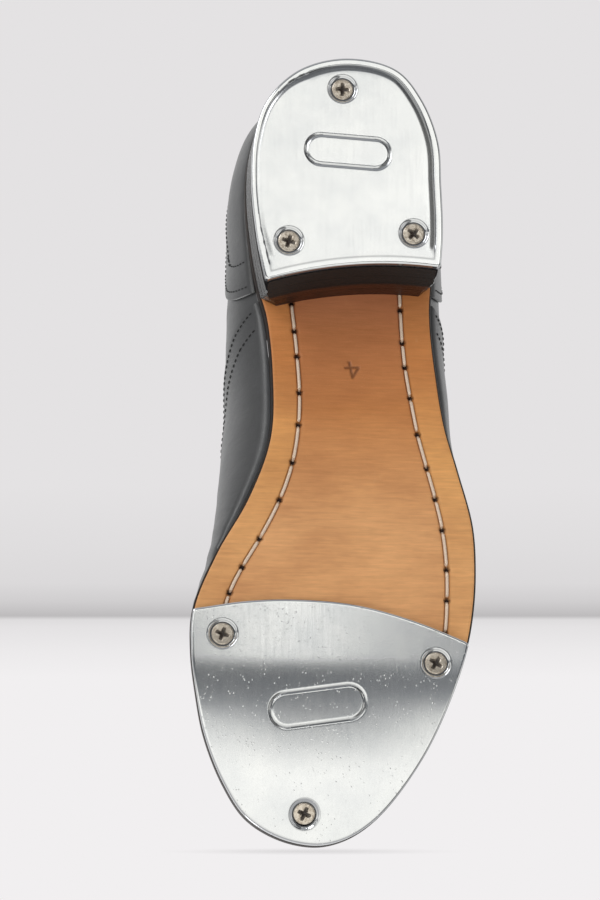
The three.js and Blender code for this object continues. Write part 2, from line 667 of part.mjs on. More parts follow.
// The heel counter laps round the back, and a stiffener of the same shape lies under the quarters.
function counterPatch(shrink) {
  const front = (side) => {
    const points = COUNTER_FRONT.map(([s, rise]) => new THREE.Vector3(roundAt(side, s - shrink), rise, 0));
    if (side === "lateral") points.forEach((p) => (p.x -= 2));
    const curve = new THREE.CatmullRomCurve3(points, false, "centripetal");
    return (v) => curve.getPoint(v);
  };
  const half = (side) =>
    COUNTER_TOP.map(([s, rise]) => {
      const round = s === 0 ? 0 : roundAt(side, s - Math.min(shrink, s)) - (side === "lateral" ? 2 : 0);
      return new THREE.Vector3(round, rise, 0);
    });
  const across = [...half("lateral"), ...half("medial").reverse().slice(1)];
  const top = new THREE.CatmullRomCurve3(across, false, "centripetal");
  const start = front("lateral");
  const end = front("medial");
  return { start, end, bottom: line(start(0), end(0)), top: (u) => top.getPoint(u) };
}
add("heel_counter", shell(counterPatch(0), OVERLAY_LAYER, 28, 6), blackLeather);
add("heel_stiffener", shell(counterPatch(4), STIFFENER_LAYER, 24, 6), fibreBoard);

// Collar binding: a soft bead that closes the edge of quarter and lining round the foot opening.
const BINDING_R = 2.3;
const toplineEnd = roundAt("medial", 94);
const toplineStart = roundAt("lateral", 94) - 2;
const bindingPath = new THREE.CatmullRomCurve3(
  Array.from({ length: 40 }, (_, i) => {
    const round = lerp(toplineStart, toplineEnd, i / 39);
    const middle = (QUARTER_LAYER[1] + LINING_LAYER[0]) / 2;
    const along = surfacePoint(round + 0.004, 1).sub(surfacePoint(round - 0.004, 1));
    const upwards = along.cross(surfaceNormal(round, 1)).normalize();
    return upperPoint(round, 1, middle).addScaledVector(upwards, BINDING_R + GAP + 0.2);
  }),
);
function tube(path, radius, steps, sides) {
  const ring = new THREE.EllipseCurve(0, 0, radius, radius).getPoints(sides).slice(0, sides);
  const options = { steps, bevelEnabled: false, extrudePath: path };
  return solidOf(new THREE.ExtrudeGeometry(new THREE.Shape(ring), options));
}
add("collar_binding", tube(bindingPath, BINDING_R, 48, 8), blackLeather);

// ---------------------------------------------------------------- tongue and lace
// The tongue lies under the facings, sewn in at the throat, and stands up past the topline.
const TONGUE_BASE = 170;
const TONGUE_TOP = 106;
const TONGUE_RISE = 15;
const tongueRows = 12;
const tongueSide = 6;
function tongueGrid(offset) {
  const rows = [];
  for (let j = 0; j <= tongueRows; j++) {
    const s = lerp(TONGUE_BASE, TONGUE_TOP, j / tongueRows);
    const low = lerp(0.8, 0.81, j / tongueRows);
    const half = (side) =>
      Array.from({ length: tongueSide + 1 }, (_, i) => {
        return upperPoint(roundAt(side, s), lerp(low, 0.985, i / tongueSide), offset);
      });
    rows.push([...half("medial"), ...half("lateral").reverse()]);
  }
  const last = rows[tongueRows];
  const before = rows[tongueRows - 2];
  const middle = Math.floor(last.length / 2);
  const upwards = last[middle].clone().sub(before[middle]).normalize();
  for (const share of [0.4, 0.75, 1]) {
    rows.push(
      last.map((p, i) => {
        const fromMiddle = Math.abs(i - middle + 0.5) / middle;
        return p.clone().addScaledVector(upwards, TONGUE_RISE * share * (1 - 0.35 * fromMiddle ** 2));
      }),
    );
  }
  return rows;
}
add("tongue", closedGrid(tongueGrid(TONGUE_LAYER[1]), tongueGrid(TONGUE_LAYER[0])), blackLeather);

// One lace: a bar across each pair of eyelets, and a run under alternate facings up to the next pair.
const OVER = 2.6; // lace centre above the facing
const UNDER = -6.2; // lace centre below it
const laceKnots = [];
const through = ({ centre, normal }, from, to) => {
  for (const height of [from, (from + to) / 2, to]) {
    laceKnots.push(centre.clone().addScaledVector(normal, height));
  }
};
EYELETS.slice()
  .reverse()
  .forEach((_, i) => {
    const pair = EYELETS.length - 1 - i;
    const [from, to] = i % 2 === 0 ? ["medial", "lateral"] : ["lateral", "medial"];
    const [a, b] = [eyeletFrames[from][pair], eyeletFrames[to][pair]];
    through(a, UNDER, OVER);
    laceKnots.push(a.centre.clone().lerp(b.centre, 0.5).add(new THREE.Vector3(0, -1, 6.2)));
    through(b, OVER, UNDER);
  });
const lacePath = new THREE.CatmullRomCurve3(laceKnots, false, "centripetal");
add("lace", tube(lacePath, LACE_R, 120, 6), cotton);

export default shoe;
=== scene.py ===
# Tap shoe for the right foot, shown from underneath with its toe on the floor.
import math

import bmesh
import bpy
import numpy as np
from mathutils import Matrix, Vector
from mathutils.geometry import delaunay_2d_cdt

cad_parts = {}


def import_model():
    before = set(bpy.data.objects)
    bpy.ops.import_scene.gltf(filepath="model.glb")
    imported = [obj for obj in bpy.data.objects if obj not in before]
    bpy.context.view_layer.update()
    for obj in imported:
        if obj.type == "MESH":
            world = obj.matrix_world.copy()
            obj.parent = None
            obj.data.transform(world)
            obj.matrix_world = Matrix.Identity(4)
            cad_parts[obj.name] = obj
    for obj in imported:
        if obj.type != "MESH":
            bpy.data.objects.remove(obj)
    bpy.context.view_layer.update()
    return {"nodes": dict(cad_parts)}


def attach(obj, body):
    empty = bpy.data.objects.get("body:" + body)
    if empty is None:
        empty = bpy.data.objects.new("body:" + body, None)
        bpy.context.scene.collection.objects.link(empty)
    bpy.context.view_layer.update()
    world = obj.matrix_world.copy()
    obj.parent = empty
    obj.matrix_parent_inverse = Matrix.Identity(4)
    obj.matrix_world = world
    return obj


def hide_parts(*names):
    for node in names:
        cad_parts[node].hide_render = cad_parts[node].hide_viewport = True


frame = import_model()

MM = 0.001
scene = bpy.context.scene

# ---------------------------------------------------------------- camera
TARGET = Vector((0.0096, -0.0029, 0.012))
CAMERA_DISTANCE = 1.1
SIDEWAYS = math.radians(5)
TILTED = math.radians(12.5)
TOWARDS_CAMERA = Vector((math.sin(SIDEWAYS), -math.sin(TILTED), -math.cos(TILTED))).normalized()
FORWARD = -TOWARDS_CAMERA
RIGHT = FORWARD.cross(Vector((0, 1, 0))).normalized()
UP = RIGHT.cross(FORWARD)
lens = bpy.data.cameras.new("camera")
lens.lens = 141.7
lens.sensor_width = 36
camera = bpy.data.objects.new("camera", lens)
scene.collection.objects.link(camera)
basis = Matrix((RIGHT, UP, TOWARDS_CAMERA)).transposed().to_4x4()
camera.matrix_world = Matrix.Translation(TARGET + TOWARDS_CAMERA * CAMERA_DISTANCE) @ basis
scene.camera = camera

# ---------------------------------------------------------------- dimensions in millimetres
SOLE_LENGTH = 248
BACK_Y = 122.5
SHIFT_X = 0.1
GAP = 0.3
HEEL_TAP = 3
TOE_TAP = 2.5
TOP_PIECE = 6.2
LIFT = 4.3
OUTSOLE = 4.5
HEEL_HEIGHT = 23.6
# The sole's underside in side view: distance from the heel's back, height and slope.
SOLE_PROFILE = np.array([(66, 23.6, 0), (118, 11.2, -0.27), (168, 2.8, 0), (192, 2.8, 0), (248, 15, 0.36)])
# The sole in plan: distance from the heel's back and distance across, medial side first.
OUTLINE = [
    (1.1, -4.6), (5.2, 10.6), (15.5, 21), (28, 25.1), (42, 25.9), (58, 24.4), (71, 22.1), (81, 19.6),
    (100, 18.2), (122, 19.3), (142, 26.3), (160, 36.2), (177, 43), (190, 43.6), (203, 42), (216, 39.2),
    (230, 33.2), (240, 26), (246, 15.5), (248, 4.2), (246.2, -4.2), (242, -11.5), (235, -18.6), (221, -28.2),
    (204, -36), (188, -41.2), (176, -43.3), (164, -44), (150, -43.4), (132, -39.4), (117, -36), (100, -34.2),
    (79, -33.1), (58, -34.5), (42, -34.1), (28, -33.3), (14.2, -28.2), (4.5, -20.1),
]
# Ribs of the upper: distance from the heel's back, inset at the sole, out and up at the sole, the top's x,
# distance and height, out and down at the top.
RIBS_MEDIAL = [
    (0, 1, 7, 20, -4.8, 6, 86, 5, 20), (13, 1, 7.5, 20, 11, 13.5, 83.5, 6, 18),
    (37, 1, 8.5, 18, 19, 36, 78, 7.5, 16), (60, 0.5, 9, 16, 21, 58, 75.5, 9, 15),
    (80, 0, 17, 16, 18.5, 79, 81.5, 12, 16), (95, 0, 21, 18, 10, 93.5, 90.5, 19, 12),
    (105, 0, 22, 18, 4.2, 103, 94.5, 23, 8), (125, 0, 21.5, 18, 3.8, 125, 83, 27, 6),
    (150, 0, 12, 16, 3.6, 150, 69.5, 27, 3), (160, 1, 6, 15, 2.6, 160, 64.4, 26, 1.5),
    (168, 1.3, 4, 15, 2.7, 168, 60.8, 27, 0.8), (180, 2, 2, 14, 3, 180, 56, 26, 0.4),
    (203, 3.5, 1, 13, 3.4, 199, 49.8, 23, 0), (225, 4.5, 0, 12, 3.6, 215, 46.2, 17, 0),
    (240, 5, 0, 11, 3.4, 225, 43.6, 14, 0), (248, 5.5, 0, 10, 3.2, 229, 42.4, 12, 0),
]
RIBS_LATERAL = [
    (13, 1, 5, 20, -20.6, 13.5, 83, 6, 18), (37, 1, 5, 18, -28.8, 36, 76, 7.5, 16),
    (60, 0.5, 7, 16, -31, 58, 72.5, 8, 15), (80, 0, 11, 16, -26.5, 79, 79.5, 10, 16),
    (95, 0, 12, 18, -12.5, 93.5, 90, 18, 13), (105, 0, 12, 18, -4.2, 103, 94.5, 25, 10),
    (125, 1, 8, 17, -3.2, 125, 83, 26, 8), (150, 2, 3, 14, -0.6, 150, 69.5, 29, 4),
    (160, 2, 2, 13, 2.6, 160, 64.4, 31, 2), (168, 2, 2, 12, 2.7, 168, 60.8, 32, 1),
    (180, 2.5, 1, 11, 3, 180, 56, 32, 0.4), (203, 3.5, 1, 12, 3.4, 199, 49.8, 26, 0),
    (225, 4.5, 0, 12, 3.6, 215, 46.2, 18, 0), (240, 5, 0, 11, 3.4, 225, 43.6, 14, 0),
]
THROAT = 160
# Layers of the upper, as offsets from its surface.
QUARTER_LAYER = (-1.3, 0.0)
OVERLAY_LAYER = (0.05, 1.15)
CAP_LAYER = (1.2, 2.3)
LINING_LAYER = (-4.1, -1.35)
TONGUE_LAYER = (-10.6, -8.6)
# Seams: distance from the heel's back and share of the way up the rib.
VAMP_SEAM = [
    (74, 0), (77.5, 0.14), (83.5, 0.25), (95, 0.35), (111, 0.44), (128, 0.56), (143, 0.72), (154, 0.87), (168, 1),
]
QUARTER_FRONT = [
    (84, 0), (88, 0.12), (95, 0.22), (106, 0.32), (120, 0.41), (136, 0.53), (149, 0.7), (158, 0.84), (171, 1),
]
CAP_SEAM = [(204, 0), (205, 0.5), (206, 1)]
COUNTER_FRONT = [(71, 0), (70, 0.2), (67, 0.38), (62, 0.5)]
COUNTER_TOP = [(62, 0.5), (45, 0.64), (22, 0.76), (0, 0.82)]
TOE_TAP_REAR = [
    (179, 60), (177.7, 43), (175.4, 28), (174.6, 14), (175.8, -5), (180.2, -23), (187.6, -42), (196, -60),
]
HEEL_SCREWS = [(11.5, -2.9), (61.4, 14), (58.1, -25.1)]
TOE_SCREWS = [(185.4, 34.1), (193.5, -31), (238.2, 8.4)]
EYELETS = [108, 118, 128, 138, 148]
# Where the sole's thread dips into the leather, along each side.
PITS_MEDIAL = [
    (66, 11.6), (75.5, 11.2), (84.9, 10.4), (93.9, 9.8), (106.3, 9.4), (117.5, 10), (130, 12.1),
    (142.7, 16.4), (155.1, 22.6), (164.3, 28), (172.2, 31.8), (182, 34.4),
]
PITS_LATERAL = [
    (66, -23.2), (77, -23.4), (88.1, -23.7), (96.7, -24.2), (107.5, -25.4), (120.1, -27.2), (131.2, -29.6),
    (141.4, -31.9), (151.5, -33.8), (164.2, -34.9), (173.8, -34.9), (184, -34.2), (195, -31.8),
]


def world(s, x, z):
    """Row-frame millimetres from distance behind the heel's back, distance across and height."""
    return np.stack(np.broadcast_arrays(x + SHIFT_X, BACK_Y - s, z), -1).astype(float)


# ---------------------------------------------------------------- curves
def curve(points, closed=False):
    """A centripetal curve through points, as a function of 0..1."""
    p = np.asarray(points, float)
    if closed:
        knots = np.concatenate([p[-1:], p, p[:2]])
    else:
        knots = np.concatenate([[2 * p[0] - p[1]], p, [2 * p[-1] - p[-2]]])
    pieces = len(knots) - 3

    def sample(t):
        f = np.clip(np.asarray(t, float), 0, 1) * pieces
        i = np.minimum(f.astype(int), pieces - 1)
        u = (f - i)[..., None]
        a, b, c, d = (knots[i + k] for k in range(4))
        pairs = ((b, a), (c, b), (d, c))
        gap = [np.maximum(np.sqrt(np.linalg.norm(q - w, axis=-1, keepdims=True)), 1e-4) for q, w in pairs]
        m0 = ((b - a) / gap[0] - (c - a) / (gap[0] + gap[1]) + (c - b) / gap[1]) * gap[1]
        m1 = ((c - b) / gap[1] - (d - b) / (gap[1] + gap[2]) + (d - c) / gap[2]) * gap[1]
        return b + m0 * u + (3 * (c - b) - 2 * m0 - m1) * u**2 + (2 * (b - c) + m0 + m1) * u**3

    return sample


def lengths_along(path):
    """Distance along a polyline to each of its points."""
    return np.concatenate([[0], np.cumsum(np.linalg.norm(np.diff(path, axis=0), axis=1))])


def even(points, step):
    """Points along a polyline, about a step apart."""
    p = np.asarray(points, float)
    length = lengths_along(p)
    count = max(int(round(length[-1] / step)), 1)
    at = np.linspace(0, length[-1], count + 1)
    return np.stack([np.interp(at, length, p[:, k]) for k in range(p.shape[1])], 1)


def hermite(u, h, a, b, m0, m1):
    """A cubic over 0..1 between two values, with slopes over a length h."""
    ends = (1 + 2 * u) * (1 - u) ** 2 * a + u * u * (3 - 2 * u) * b
    return ends + h * u * (1 - u) ** 2 * m0 + h * u * u * (u - 1) * m1


def smooth(x, a, b):
    """0 at a, 1 at b, eased at both ends."""
    t = np.clip((x - a) / (b - a), 0, 1)
    return t * t * (3 - 2 * t)


# ---------------------------------------------------------------- sole profile and outline
def sole_bottom(s):
    """Height of the sole's underside at a distance from the heel's back."""
    s = np.asarray(s, float)
    i = np.clip(np.searchsorted(SOLE_PROFILE[:, 0], s, side="right") - 1, 0, len(SOLE_PROFILE) - 2)
    s0, z0, m0 = (SOLE_PROFILE[i, k] for k in range(3))
    s1, z1, m1 = (SOLE_PROFILE[i + 1, k] for k in range(3))
    h = s1 - s0
    z = hermite((s - s0) / h, h, z0, z1, m0, m1)
    z = np.where(s <= SOLE_PROFILE[0, 0], SOLE_PROFILE[0, 1], z)
    last = SOLE_PROFILE[-1]
    return np.where(s >= last[0], last[1] + last[2] * (s - last[0]), z)


def sole_top(s):
    """Height of the sole's upper face."""
    return sole_bottom(s) + OUTSOLE


def sole_tilt(s):
    """The underside's slope as an angle."""
    return np.arctan(sole_bottom(s + 0.5) - sole_bottom(s - 0.5))


STEPS = 800
edge_points = curve(OUTLINE, closed=True)(np.arange(STEPS) / STEPS)
around = np.roll(edge_points, 1, 0) - np.roll(edge_points, -1, 0)
edge_out = np.stack([around[:, 1], -around[:, 0]], 1)
edge_out /= np.linalg.norm(edge_out, axis=1, keepdims=True)
TOE = int(np.argmax(edge_points[:, 0]))
lengths = np.concatenate([[0], np.cumsum(np.linalg.norm(np.roll(edge_points, -1, 0) - edge_points, axis=1))])
# Share of the way round the sole: 0 at the heel's back, 1 at the toe, 2 at the heel's back again.
lateral_share = 1 + (lengths - lengths[TOE]) / (lengths[-1] - lengths[TOE])
SHARE = np.where(lengths <= lengths[TOE], lengths / lengths[TOE], lateral_share)
LOOP_POINTS = np.concatenate([edge_points, edge_points[:1]])
LOOP_OUT = np.concatenate([edge_out, edge_out[:1]])


def edge_at(turn):
    """Plan point [s, x] and outward direction at a share round the sole."""
    r = np.mod(turn, 2)
    point = np.stack([np.interp(r, SHARE, LOOP_POINTS[:, k]) for k in (0, 1)], -1)
    out = np.stack([np.interp(r, SHARE, LOOP_OUT[:, k]) for k in (0, 1)], -1)
    return point, out / np.linalg.norm(out, axis=-1, keepdims=True)


def turn_at(side, s):
    """Share of the way round the sole, for a side and a distance from the heel's back."""
    s = np.clip(s, 0, LOOP_POINTS[TOE, 0])
    if side == "medial":
        return np.interp(s, LOOP_POINTS[: TOE + 1, 0], SHARE[: TOE + 1])
    return np.interp(s, LOOP_POINTS[TOE:, 0][::-1], SHARE[TOE:][::-1])


def inset_outline(inset, step=1):
    """The sole's outline moved inwards."""
    return (edge_points - edge_out * inset)[::step]


# ---------------------------------------------------------------- the upper's surface
def rib_turn(side, s):
    """Where a rib stands, as a share of the way round the sole."""
    return {0: 0.0, SOLE_LENGTH: 1.0}.get(s, float(turn_at(side, s)))


ribs = [(rib_turn("medial", s), row) for s, *row in RIBS_MEDIAL]
ribs += [(rib_turn("lateral", s), row) for s, *row in RIBS_LATERAL[::-1]]
RIB_TURN = np.array([r[0] for r in ribs])
RIB_VALUE = np.array([r[1] for r in ribs], float)


def rib_at(turn):
    """The ribs' numbers at any share round the sole."""
    r = np.mod(turn, 2)
    n = len(RIB_TURN)
    i = np.searchsorted(RIB_TURN, r, side="right") - 1

    def row(k):
        laps = np.floor_divide(k, n)
        return (RIB_TURN[k - laps * n] + 2 * laps)[..., None], RIB_VALUE[k - laps * n]

    (ra, a), (rb, b), (rc, c), (rd, d) = (row(i + k) for k in (-1, 0, 1, 2))
    h = rc - rb
    u = (r[..., None] - rb) / h

    def slope(rp, p, rq, q, rw, w):
        before = (q - p) / (rq - rp)
        after = (w - q) / (rw - rq)
        return before + (after - before) * (rq - rp) / (rw - rp)

    m0 = slope(ra, a, rb, b, rc, c)
    m1 = slope(rb, b, rc, c, rd, d)
    return hermite(u, h, b, c, m0, m1)


def surface(turn, rise):
    """Points of the upper's outer surface."""
    turn, rise = np.broadcast_arrays(np.asarray(turn, float), np.asarray(rise, float))
    r = np.mod(turn, 2)
    point, out = edge_at(r)
    s = point[..., 0]
    inset, out0, up0, top_x, top_s, top_z, out1, down1 = np.moveaxis(rib_at(r), -1, 0)
    behind = rib_at(np.where(r <= 1, r - 0.04, r + 0.04))
    ridge = smooth(s, THROAT - 10, THROAT + 8)
    fall = ridge * (behind[..., 5] - top_z) / np.maximum(top_s - behind[..., 4], 0.1)
    foot = np.stack([s - out[..., 0] * inset, point[..., 1] - out[..., 1] * inset, sole_top(s) + GAP], -1)
    top = np.stack([top_s, top_x, top_z], -1)
    a = foot + np.stack([out[..., 0] * out0, out[..., 1] * out0, up0], -1)
    b = top + np.stack([out[..., 0] * out1, out[..., 1] * out1, -down1 - fall * out[..., 0] * out1], -1)
    q = rise[..., None]
    p = (1 - q) ** 3 * foot + 3 * (1 - q) ** 2 * q * a + 3 * (1 - q) * q * q * b + q**3 * top
    return world(p[..., 0], p[..., 1], p[..., 2])


def unit(v):
    """Vectors brought to length 1."""
    return v / np.maximum(np.linalg.norm(v, axis=-1, keepdims=True), 1e-9)


def normal(turn, rise):
    """The upper surface's outward direction."""
    step = 0.004
    along = surface(turn + step, rise) - surface(turn - step, rise)
    upwards = surface(turn, np.minimum(rise + step, 1)) - surface(turn, np.maximum(rise - step, 0))
    return unit(np.cross(upwards, along))


def above_sole(p):
    """Points kept clear of the sole."""
    p[..., 2] = np.maximum(p[..., 2], sole_top(BACK_Y - p[..., 1]) + GAP)
    return p


def upper(turn, rise, offset):
    """Points at an offset from the upper's surface."""
    turn, rise = np.broadcast_arrays(np.asarray(turn, float), np.asarray(rise, float))
    return above_sole(surface(turn, rise) + normal(turn, rise) * np.asarray(offset)[..., None])


def seam(side, points, shift=0.0):
    """[turn, rise] along a seam given as [distance, rise]."""
    lap = 2.0 if side == "lateral_back" else 0.0
    name = "lateral" if side == "lateral_back" else side
    return curve([(float(turn_at(name, s + shift)) - lap, rise) for s, rise in points])


def seam_turn(side, points, rises, shift=0.0):
    """Where a seam stands round the sole, by rise."""
    dense = seam(side, points, shift)(np.linspace(0, 1, 400))
    return np.interp(rises, dense[:, 1], dense[:, 0])


# ---------------------------------------------------------------- mesh builders
def mesh_object(name, verts, faces, materials, slots=None, crease=38, attributes=None, uv=None):
    """An object from points in millimetres, smooth but for edges sharper than the crease angle."""
    mesh = bpy.data.meshes.new(name)
    mesh.from_pydata((np.asarray(verts) * MM).tolist(), [], [tuple(int(i) for i in f) for f in faces])
    for m in materials:
        mesh.materials.append(m)
    if slots is not None:
        mesh.polygons.foreach_set("material_index", np.asarray(slots, int))
    for key, values in (attributes or {}).items():
        layer = mesh.attributes.new(key, "FLOAT", "POINT")
        layer.data.foreach_set("value", np.asarray(values, float))
    if uv is not None:
        layer = mesh.uv_layers.new(name="UVMap")
        loops = np.zeros(len(mesh.loops), int)
        mesh.loops.foreach_get("vertex_index", loops)
        layer.data.foreach_set("uv", np.asarray(uv, float)[loops].ravel())
    bm = bmesh.new()
    bm.from_mesh(mesh)
    bmesh.ops.remove_doubles(bm, verts=bm.verts, dist=2e-6)
    bmesh.ops.recalc_face_normals(bm, faces=bm.faces)
    for f in bm.faces:
        f.smooth = True
    limit = math.radians(crease)
    for e in bm.edges:
        e.smooth = len(e.link_faces) == 2 and e.calc_face_angle(0) < limit
    bm.to_mesh(mesh)
    bm.free()
    obj = bpy.data.objects.new(name, mesh)
    scene.collection.objects.link(obj)
    return obj


def soften(obj, width):
    """Rounded edges."""
    bevel = obj.modifiers.new("soften", "BEVEL")
    bevel.width = width * MM
    bevel.segments = 2
    bevel.limit_method = "ANGLE"
    bevel.angle_limit = math.radians(50)
    bevel.use_clamp_overlap = True
    return obj


def finish_piece(obj, nodes=(), body="shoe"):
    """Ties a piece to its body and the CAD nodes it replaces."""
    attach(obj, body)
    if nodes:
        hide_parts(*nodes)
    return obj


def closed_grid(front, back, zipped=False):
    """Vertices and quads of the solid between two facing grids [rows, columns, 3]."""
    rows, columns = front.shape[:2]
    verts = np.concatenate([front.reshape(-1, 3), back.reshape(-1, 3)])
    f = np.arange(rows * columns).reshape(rows, columns)
    b = f + rows * columns
    quads = [
        np.stack([f[:-1, :-1], f[1:, :-1], f[1:, 1:], f[:-1, 1:]], -1).reshape(-1, 4),
        np.stack([b[:-1, :-1], b[:-1, 1:], b[1:, 1:], b[1:, :-1]], -1).reshape(-1, 4),
        np.stack([f[0, :-1], f[0, 1:], b[0, 1:], b[0, :-1]], -1),
        np.stack([f[:-1, 0], b[:-1, 0], b[1:, 0], f[1:, 0]], -1),
        np.stack([f[:-1, -1], f[1:, -1], b[1:, -1], b[:-1, -1]], -1),
    ]
    if not zipped:
        quads.append(np.stack([f[-1, :-1], b[-1, :-1], b[-1, 1:], f[-1, 1:]], -1))
    return verts, np.concatenate(quads)


def hood(rear, layer, half, rows, relief=None):
    """The shell over the forefoot from a rear seam round to the toe."""
    rises = np.concatenate([np.arange(half + 1), np.arange(half - 1, -1, -1)]) / half
    medial = np.arange(2 * half + 1) <= half
    start = np.where(medial, seam_turn("medial", rear, rises), seam_turn("lateral", rear, rises))
    t = np.linspace(0, 1, rows + 1)[:, None]
    turn = start * (1 - t) + t
    p = surface(turn, np.broadcast_to(rises, turn.shape))
    after = np.concatenate([p[1:], p[-2:-1, ::-1]])
    before = np.concatenate([p[:1], p[:-1]])
    along = after - before
    across = np.concatenate([p[:, 1:2] - p[:, :1], p[:, 2:] - p[:, :-2], p[:, -1:] - p[:, -2:-1]], 1)
    across[-1, half] = across[-2, half]
    along[-1, half] = along[-2, half]
    out = unit(np.cross(across, along))
    lift = relief(p) if relief else 0
    outer = above_sole(p + out * (np.asarray(layer[1] + lift)[..., None] if relief else layer[1]))
    inner = above_sole(p + out * layer[0])
    return closed_grid(outer[:, ::-1], inner[:, ::-1], zipped=True)


def patch(start, end, layer, across, up, top=None, inner_offset=None):
    """The shell over a four-sided patch, its edges given as curves of [turn, rise]."""
    u = np.linspace(0, 1, across + 1)
    v = np.linspace(0, 1, up + 1)
    c_start, c_end = start(v)[:, None], end(v)[:, None]
    ends = start(np.array([0.0, 1.0])), end(np.array([0.0, 1.0]))
    c_bottom = (ends[0][0] + (ends[1][0] - ends[0][0]) * u[:, None])[None]
    c_top = top(u)[None] if top else (ends[0][1] + (ends[1][1] - ends[0][1]) * u[:, None])[None]
    uu, vv = u[None, :, None], v[:, None, None]
    p = c_bottom * (1 - vv) + c_top * vv + c_start * (1 - uu) + c_end * uu
    p = p - ends[0][0] * (1 - uu) * (1 - vv) - ends[1][0] * uu * (1 - vv)
    p = p - ends[0][1] * (1 - uu) * vv - ends[1][1] * uu * vv
    turn, rise = p[..., 0], np.clip(p[..., 1], 0, 1)
    inner = layer[0] if inner_offset is None else inner_offset(turn, rise)
    front = upper(turn, rise, np.broadcast_to(layer[1], turn.shape))
    return closed_grid(front, upper(turn, rise, np.broadcast_to(inner, turn.shape)))


def straight(a, b):
    """A straight curve between two points."""
    a, b = np.asarray(a, float), np.asarray(b, float)
    return lambda v: a + (b - a) * np.asarray(v, float)[..., None]


def frames_along(path):
    """Tangent, side and up vectors carried along a path without twisting."""
    tangent = unit(np.gradient(path, axis=0))
    side = np.zeros_like(path)
    v = np.cross(tangent[0], (0.3, 0.2, 0.9))
    for i, t in enumerate(tangent):
        v = v - t * np.dot(v, t)
        v = v / np.linalg.norm(v)
        side[i] = v
    return tangent, side, np.cross(tangent, side)


def between_rings(rows, sides):
    """Vertex numbers by ring, and the quads that join each ring to the next."""
    g = np.arange(rows * sides).reshape(rows, sides)
    nxt = np.roll(g, -1, 1)
    return g, [tuple(q) for q in np.stack([g[:-1], nxt[:-1], nxt[1:], g[1:]], -1).reshape(-1, 4)]


def tube(path, radius, sides):
    """A round cord along a path, with rounded ends, and its [around, along] coordinates."""
    path = np.asarray(path, float)
    tangent, side, up = frames_along(path)
    a = np.linspace(0, 2 * np.pi, sides, endpoint=False)
    length = lengths_along(path)
    radii = np.broadcast_to(radius, len(path)).astype(float)
    spots = [(i, 0.0, 1.0) for i in range(len(path))]
    last = len(path) - 1
    spots = [(0, -0.9, 0.35), (0, -0.6, 0.8), *spots, (last, 0.6, 0.8), (last, 0.9, 0.35)]
    rings = []
    uv = []
    for i, ahead, share in spots:
        centre = path[i] + tangent[i] * ahead * radii[i]
        ring = centre + share * radii[i] * (np.cos(a)[:, None] * side[i] + np.sin(a)[:, None] * up[i])
        rings.append(ring)
        uv.append(np.stack([a / (2 * np.pi), np.full(sides, (length[i] + ahead * radii[i]) * 0.1)], 1))
    g, faces = between_rings(len(rings), sides)
    faces += [tuple(g[0][::-1]), tuple(g[-1])]
    return np.concatenate(rings), faces, np.concatenate(uv)


def lathe(profile, sides, matrix):
    """A closed ring turned from a closed profile of [radius, z], placed by a matrix in millimetres."""
    p = np.asarray(profile, float)
    a = np.linspace(0, 2 * np.pi, sides, endpoint=False)
    r, z = p[:, :1], np.broadcast_to(p[:, 1:], (len(p), sides))
    local = np.stack([r * np.cos(a), r * np.sin(a), z, np.ones_like(z)], -1)
    verts = (local.reshape(-1, 4) @ np.array(matrix).T)[:, :3]
    g = np.arange(len(p) * sides).reshape(len(p), sides)
    nxt = np.roll(g, -1, 1)
    up, up_nxt = np.roll(g, -1, 0), np.roll(nxt, -1, 0)
    return verts, np.stack([g, nxt, up_nxt, up], -1).reshape(-1, 4)


def join(parts):
    """Several (vertices, faces) as one."""
    verts, faces, base = [], [], 0
    for v, f in parts:
        verts.append(v)
        faces += [tuple(int(i) + base for i in q) for q in f]
        base += len(v)
    return np.concatenate(verts), faces


def loop_distance(points, loop, closed=True):
    """Distance from each point to a polyline."""
    a = np.asarray(loop, float)
    b = np.roll(a, -1, 0) if closed else a[1:]
    a = a if closed else a[:-1]
    best = np.full(len(points), 1e9)
    for p, q in zip(a, b):
        d = q - p
        t = np.clip(((points - p) @ d) / max(d @ d, 1e-9), 0, 1)
        best = np.minimum(best, np.hypot(*(points - p - t[:, None] * d).T))
    return best


def inside(points, loop):
    """Which points lie inside a loop."""
    a = np.asarray(loop, float)
    b = np.roll(a, -1, 0)
    result = np.zeros(len(points), bool)
    for (ax, ay), (bx, by) in zip(a, b):
        if ay == by:
            continue
        cross = (points[:, 1] >= min(ay, by)) & (points[:, 1] < max(ay, by))
        result ^= cross & (points[:, 0] < ax + (points[:, 1] - ay) * (bx - ax) / (by - ay))
    return result


def inner_loop(loop, inset):
    """Points of a loop moved inwards, those kept that really lie that deep."""
    before, after = unit(loop - np.roll(loop, 1, 0)), unit(np.roll(loop, -1, 0) - loop)
    middle = unit(before + after)
    side = np.stack([middle[:, 1], -middle[:, 0]], 1)
    stretch = 1 / np.maximum(np.sum(middle * after, 1), 0.5)
    area = np.sum(loop[:, 0] * np.roll(loop[:, 1], -1) - np.roll(loop[:, 0], -1) * loop[:, 1])
    moved = loop - side * (inset * stretch)[:, None] * (1 if area > 0 else -1)
    keep = inside(moved, loop) & (loop_distance(moved, loop) > inset * 0.985)
    return moved[keep]


